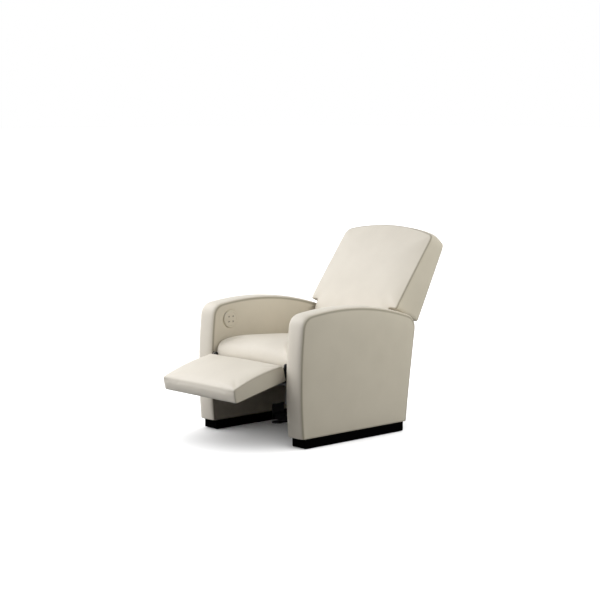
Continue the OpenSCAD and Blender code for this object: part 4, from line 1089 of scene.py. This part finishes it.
# Steel frame. Side plates, seat frame, base rails, hinge plates, legrest arms and brackets: cut and
# welded mild steel in black powder coat with a fine orange peel, rubbed bright where parts meet.
powder_coat = finish_of("black_powder_coat", (0.016, 0.016, 0.017), (0.11, 0.11, 0.11), 0.5, gloss=0.25,
                        grain=1400.0, bump=0.3)
dress(["front_base_rail", "rear_base_rail", "left_side_plate", "right_side_plate", "seat_frame",
       "legrest_actuator_bracket", "back_actuator_bracket", "left_legrest_arm", "right_legrest_arm",
       "legrest_drive_bracket", "back_frame", "left_hinge_plate", "right_hinge_plate", "back_drive_lever"],
      powder_coat)


# Fasteners, pins and rods. Steel in bright zinc plate, drawn along the rods; the legrest's pins and the
# bolts of the side plates are blackened, so that they don't shine in the gap beside the seat.
zinc = finish_of("bright_zinc", (0.55, 0.56, 0.58), (0.24, 0.23, 0.22), 0.3, metallic=1.0, grain=700.0,
                 bump=0.1)
black_zinc = finish_of("black_zinc", (0.03, 0.03, 0.032), (0.12, 0.12, 0.12), 0.4, metallic=1.0,
                       grain=700.0)
drawn_zinc = finish_of("drawn_zinc", (0.58, 0.59, 0.61), (0.3, 0.29, 0.28), 0.24, metallic=1.0, grain=900.0,
                       bump=0.12, stretch=(1, 0.05, 0.4))
dress(["plinth_screws", "spring_clips", "back_pivot_pins", "actuator_pins", "legrest_rod_pin",
       "back_rod_pin"], zinc)
dress(["arm_bolts", "legrest_pivot_pins"], black_zinc)
dress(["legrest_actuator_rod", "back_actuator_rod"], drawn_zinc)


# Springs of the seat. Four rows of oiled spring wire, bent into waves, run from the front to the rear of
# the deck and are held there by the clips.
spring_wire = finish_of("spring_wire", (0.09, 0.088, 0.085), (0.16, 0.10, 0.06), 0.38, wear=0.8, metallic=1.0,
                        grain=800.0)
dress(["seat_springs"], spring_wire)


# Plywood. Arm frames, seat deck and legrest board are cut from birch plywood: a plain face veneer and
# dark and light plies along every cut edge.
# A light and a dark ply together, in metres.
ply_pair = 0.003
ply_wood, given = surface_group("birch_ply", [
    ("Along", "Vector", None), ("Depth", "Float", 0.0), ("On Face", "Float", 1.0)])
sway = add_node(ply_wood, "TexNoise", {"Vector": given["Along"], "Scale": 6.0, "Detail": 3.0})
bands = add_node(ply_wood, "TexWave", {"Vector": given["Along"], "Scale": 9.0, "Distortion": 7.0,
                                       "Detail": 3.0, "Detail Scale": 1.6},
                 wave_type="BANDS", bands_direction="X")
pores = add_node(ply_wood, "TexNoise", {"Vector": given["Along"], "Scale": 260.0, "Detail": 2.0})
face = blend(ply_wood, bands.outputs["Fac"], (0.60, 0.45, 0.28, 1), (0.68, 0.53, 0.35, 1))
wave = worked(ply_wood, "SINE", worked(ply_wood, "MULTIPLY", given["Depth"], 2 * pi / ply_pair))
step = add_node(ply_wood, "MapRange", {"Value": wave, "From Min": -0.25, "From Max": 0.25})
edge = blend(ply_wood, step.outputs[0], (0.36, 0.23, 0.12, 1), (0.62, 0.48, 0.31, 1))
dulled = add_node(ply_wood, "MapRange", {"Value": sway.outputs["Fac"], "To Min": 0.5, "To Max": 0.72})
give(ply_wood, blend(ply_wood, given["On Face"], edge, face), dulled.outputs[0], pores.outputs["Fac"])


def plywood(name, thickness_axis, grain_stretch):
    """Plywood whose plies lie across one axis, with the face grain drawn out along another."""
    material, tree, group, shader = surfaced(name, ply_wood, {}, strength=0.25, distance=0.0004)
    where = add_node(tree, "TexCoord")
    along = add_node(tree, "Mapping", {"Vector": where.outputs["Object"], "Scale": grain_stretch})
    spot = add_node(tree, "SeparateXYZ", {0: where.outputs["Object"]})
    facing = add_node(tree, "SeparateXYZ", {0: add_node(tree, "NewGeometry").outputs["True Normal"]})
    square_on = worked(tree, "ABSOLUTE", facing.outputs[thickness_axis])
    on_face = add_node(tree, "MapRange", {"Value": square_on, "From Min": 0.6, "From Max": 0.8})
    tree.links.new(along.outputs[0], group.inputs["Along"])
    tree.links.new(spot.outputs[thickness_axis], group.inputs["Depth"])
    tree.links.new(on_face.outputs[0], group.inputs["On Face"])
    shader.inputs["Specular IOR Level"].default_value = 0.3
    return material


upright_ply = plywood("upright_plywood", thickness_axis=0, grain_stretch=(1, 1, 0.08))
flat_ply = plywood("flat_plywood", thickness_axis=2, grain_stretch=(0.08, 1, 1))
dress(["left_arm_frame", "right_arm_frame"], upright_ply)
dress(["seat_deck", "legrest_board"], flat_ply)


# Straps of the back. Black elastic webbing woven of flat yarns, stretched across the back frame.
weave, given = surface_group("webbing_weave", [("Coordinates", "Vector", None)])
where = given["Coordinates"]
warp_yarn = add_node(weave, "TexWave", {"Vector": where, "Scale": 160.0}, wave_type="BANDS",
                     bands_direction="Z")
weft_yarn = add_node(weave, "TexWave", {"Vector": where, "Scale": 90.0, "Distortion": 0.6}, wave_type="BANDS",
                     bands_direction="X")
crossing = worked(weave, "MULTIPLY", warp_yarn.outputs["Fac"], weft_yarn.outputs["Fac"])
fuzz = add_node(weave, "MapRange", {"Value": crossing, "To Min": 0.95, "To Max": 0.75})
give(weave, blend(weave, crossing, (0.010, 0.010, 0.011, 1), (0.045, 0.045, 0.048, 1)), fuzz.outputs[0],
     crossing)
webbing, tree, yarns = surfaced("black_webbing", weave, {}, strength=0.6, distance=0.0008)[:3]
tree.links.new(add_node(tree, "TexCoord").outputs["Object"], yarns.inputs["Coordinates"])
dress(["back_webbing"], webbing)


# Drives. Each actuator has a moulded black gearbox and motor housing, and a drawn aluminium tube in which
# the rod runs. The control box and the power inlet are moulded in the same black plastic.
black_plastic = finish_of("black_plastic", (0.018, 0.018, 0.019), (0.06, 0.06, 0.06), 0.45, gloss=0.4,
                          grain=1800.0, bump=0.35)
aluminium = finish_of("drawn_aluminium", (0.62, 0.63, 0.64), (0.42, 0.42, 0.42), 0.32, metallic=1.0,
                      grain=800.0, stretch=(1, 0.05, 0.4))
dress(["legrest_motor", "back_motor", "control_box", "power_inlet"], black_plastic)
dress(["legrest_actuator_tube", "back_actuator_tube"], aluminium)


# Control module. A moulded cream housing pressed into the sitter's right arm, with a round plate inside a
# deep groove. Four domed buttons move in the plate, with plain raised marks: chevrons for the legrest
# and triangles for the back.
cream_plastic = finish_of("cream_plastic", cream, cream_shade, 0.42, wear=0.35, grain=1500.0, bump=0.2,
                          gloss=0.3)
button_plastic = finish_of("button_plastic", (0.70, 0.645, 0.54), cream_shade, 0.36, wear=0.5, grain=1500.0,
                           gloss=0.35)
mark_ink = finish_of("mark_ink", (0.16, 0.135, 0.10), (0.3, 0.26, 0.2), 0.5, wear=0.6, grain=1500.0)
cup_r = 38.0
cup_back_x = -321.0
cup_bore_r = 35.5
cup_floor_x = -318.5
rim_r = 44.0
rim_back_x = -287.0
rim_front_x = -275.6
# Radius and place across of each turn of the housing: cup, rim with its round edge, and bore.
housing_profile = [(0, cup_back_x), (cup_r - 1.6, cup_back_x), (cup_r - 0.4, cup_back_x + 0.8),
                   (cup_r, cup_back_x + 2), (cup_r, rim_back_x), (rim_r - 0.5, rim_back_x),
                   (rim_r, rim_back_x + 0.5), (rim_r, rim_front_x - 3.6), (rim_r - 0.3, rim_front_x - 2.2),
                   (rim_r - 1.1, rim_front_x - 1), (rim_r - 2.4, rim_front_x - 0.3), (rim_r - 4, rim_front_x),
                   (cup_bore_r + 1.5, rim_front_x), (cup_bore_r + 0.5, rim_front_x - 0.3),
                   (cup_bore_r, rim_front_x - 1), (cup_bore_r, cup_floor_x), (0, cup_floor_x)]
button_r = 7.4
button_front_x = -275.3
button_foot_r = 8.7
button_foot_front_x = -290.1
button_foot_back_x = -291.3
# The same for a button: five turns of its dome, its side and the foot that keeps it behind the plate.
button_profile = [(0, button_front_x), (3.5, button_front_x - 0.03), (5.5, button_front_x - 0.15),
                  (6.5, button_front_x - 0.45), (7.1, button_front_x - 1), (button_r, button_front_x - 1.8),
                  (button_r, button_foot_front_x), (button_foot_r, button_foot_front_x),
                  (button_foot_r, button_foot_back_x), (0, button_foot_back_x)]
dome_turns = 5
plate_front_x = -276.4
plate_fall = 0.2
plate_r = 34.8
plate_round = 0.8
plate_back_x = -290.0
groove_floor_x = -282.0
groove_r = 35.4
button_offset = 13.5
button_hole_r = 7.8
button_hole_round = 0.7
rounding = [radians(a) for a in (0, 22.5, 45, 67.5, 90)]
turns = 72
mark_lift = 0.28
mark_taper = 0.94


def turned_rings(centre, profile, start):
    """Rings of points about an axis along X, with the faces between them. A radius of 0 is one point."""
    points, rows, faces = [], [], []
    for r, x in profile:
        if r == 0:
            rows.append([start + len(points)] * turns)
            points.append((x, centre[0], centre[1]))
            continue
        rows.append(list(range(start + len(points), start + len(points) + turns)))
        for k in range(turns):
            angle = 2 * pi * k / turns
            points.append((x, centre[0] + r * cos(angle), centre[1] + r * sin(angle)))
    for a, b in zip(rows[:-1], rows[1:]):
        for k in range(turns):
            loop = [a[k], b[k], b[(k + 1) % turns], a[(k + 1) % turns]]
            loop = [v for i, v in enumerate(loop) if v not in loop[:i]]
            if len(loop) > 2:
                faces.append(loop)
    return points, rows, faces


def solid(name, points, faces, material, smooth_below=40):
    """An object from points in millimetres, its normals turned outward, its edges sharp above an angle."""
    mesh = bpy.data.meshes.new(name)
    mesh.from_pydata((np.array(points) / 1000).tolist(), [], faces)
    work = bmesh.new()
    work.from_mesh(mesh)
    bmesh.ops.remove_doubles(work, verts=work.verts, dist=1e-6)
    bmesh.ops.recalc_face_normals(work, faces=work.faces)
    work.to_mesh(mesh)
    work.free()
    mesh.polygons.foreach_set("use_smooth", np.ones(len(mesh.polygons), bool))
    mesh.set_sharp_from_angle(angle=radians(smooth_below))
    mesh.materials.append(material)
    return placed(name, mesh)


def circle(centre, r):
    """A circle in the side view, one point for each turn."""
    angles = [2 * pi * k / turns for k in range(turns)]
    return [(centre[0] + r * cos(angle), centre[1] + r * sin(angle)) for angle in angles]


def plate_x(y, z):
    """Where the plate's face lies across the seat: it falls a little towards its rim."""
    out = (y - control_centre[0]) ** 2 + (z - control_centre[1]) ** 2
    return plate_front_x - plate_fall * out / plate_r ** 2


points, _, faces = turned_rings(control_centre, housing_profile, 0)
housing = solid("control_housing_shell", points, faces, cream_plastic)
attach(housing, "base")
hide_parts("control_housing")

button_centres = {}
for y_name, y_way in (("front_", -1), ("rear_", 1)):
    for z_name, z_way in (("upper", 1), ("lower", -1)):
        button_centres[y_name + z_name] = (control_centre[0] + y_way * button_offset,
                                           control_centre[1] + z_way * button_offset)
outline = circle(control_centre, plate_r - plate_round)
holes = [circle(c, button_hole_r + button_hole_round) for c in button_centres.values()]
flat = [Vector(p) for p in outline + sum(holes, [])]
loops = [[k * turns + i for i in range(turns)] for k in range(1 + len(holes))]
cut_edges = [(loop[i], loop[(i + 1) % turns]) for loop in loops for i in range(turns)]
verts, _, tris, *_ = delaunay_2d_cdt(flat, cut_edges, [], 0, 1e-5)
points = [(plate_x(*v), *v) for v in verts]
faces = []
for tri in tris:
    middle = sum((verts[k] for k in tri), Vector((0, 0))) / 3
    if (middle - Vector(control_centre)).length > plate_r - plate_round:
        continue
    if all((middle - Vector(c)).length > button_hole_r + button_hole_round for c in button_centres.values()):
        faces.append(list(tri))
rim_x = plate_front_x - plate_fall * (1 - plate_round / plate_r) ** 2
profile = [(plate_r - plate_round * (1 - sin(a)), rim_x - plate_round * (1 - cos(a))) for a in rounding]
profile += [(plate_r, groove_floor_x), (groove_r, groove_floor_x), (groove_r, plate_back_x),
            (0, plate_back_x)]
more, _, strips = turned_rings(control_centre, profile, len(points))
points += more
faces += strips
hole_profile = [(button_hole_r + button_hole_round * (1 - sin(a)), -button_hole_round * (1 - cos(a)))
                for a in rounding]
hole_profile += [(button_hole_r, plate_back_x - plate_front_x)]
for c in button_centres.values():
    more, _, strips = turned_rings(c, hole_profile, len(points))
    for x, y, z in more:
        at_back = x <= plate_back_x - plate_front_x
        points.append((plate_back_x + 0.5 if at_back else x + plate_x(y, z), y, z))
    faces += strips
plate = solid("control_plate", points, faces, cream_plastic)
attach(plate, "base")
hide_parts("control_face")

chevron = [(-5.4, 3.2), (0, -1.4), (5.4, 3.2), (5.4, -0.6), (0, -5.2), (-5.4, -0.6)]
triangle = [(-4.9, -3.4), (4.9, -3.4), (0, 5.2)]
marks = {"front_upper": chevron, "front_lower": [(y, -z) for y, z in chevron][::-1],
         "rear_upper": triangle, "rear_lower": [(y, -z) for y, z in triangle][::-1]}
dome = np.array(button_profile[:dome_turns])
for place, c in button_centres.items():
    points, _, faces = turned_rings(c, button_profile, 0)
    cap = solid("button_" + place + "_cap", points, faces, button_plastic)
    shape = marks[place]
    count = len(shape)
    levels = [np.interp(np.hypot(y, z), dome[:, 0], dome[:, 1]) for y, z in shape]
    points = [(x - mark_lift, c[0] + y, c[1] + z) for (y, z), x in zip(shape, levels)]
    points += [(x + mark_lift, c[0] + y * mark_taper, c[1] + z * mark_taper)
               for (y, z), x in zip(shape, levels)]
    lows = [[0, 1, 2]] if count == 3 else [[0, 1, 4, 5], [1, 2, 3, 4]]
    tops = [[k + count for k in face] for face in lows]
    faces = tops + lows + [[i, (i + 1) % count, (i + 1) % count + count, i + count] for i in range(count)]
    mark = solid("button_" + place + "_mark", points, faces, mark_ink, 20)
    for piece in (cap, mark):
        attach(piece, "button_" + place)
    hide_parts("button_" + place)
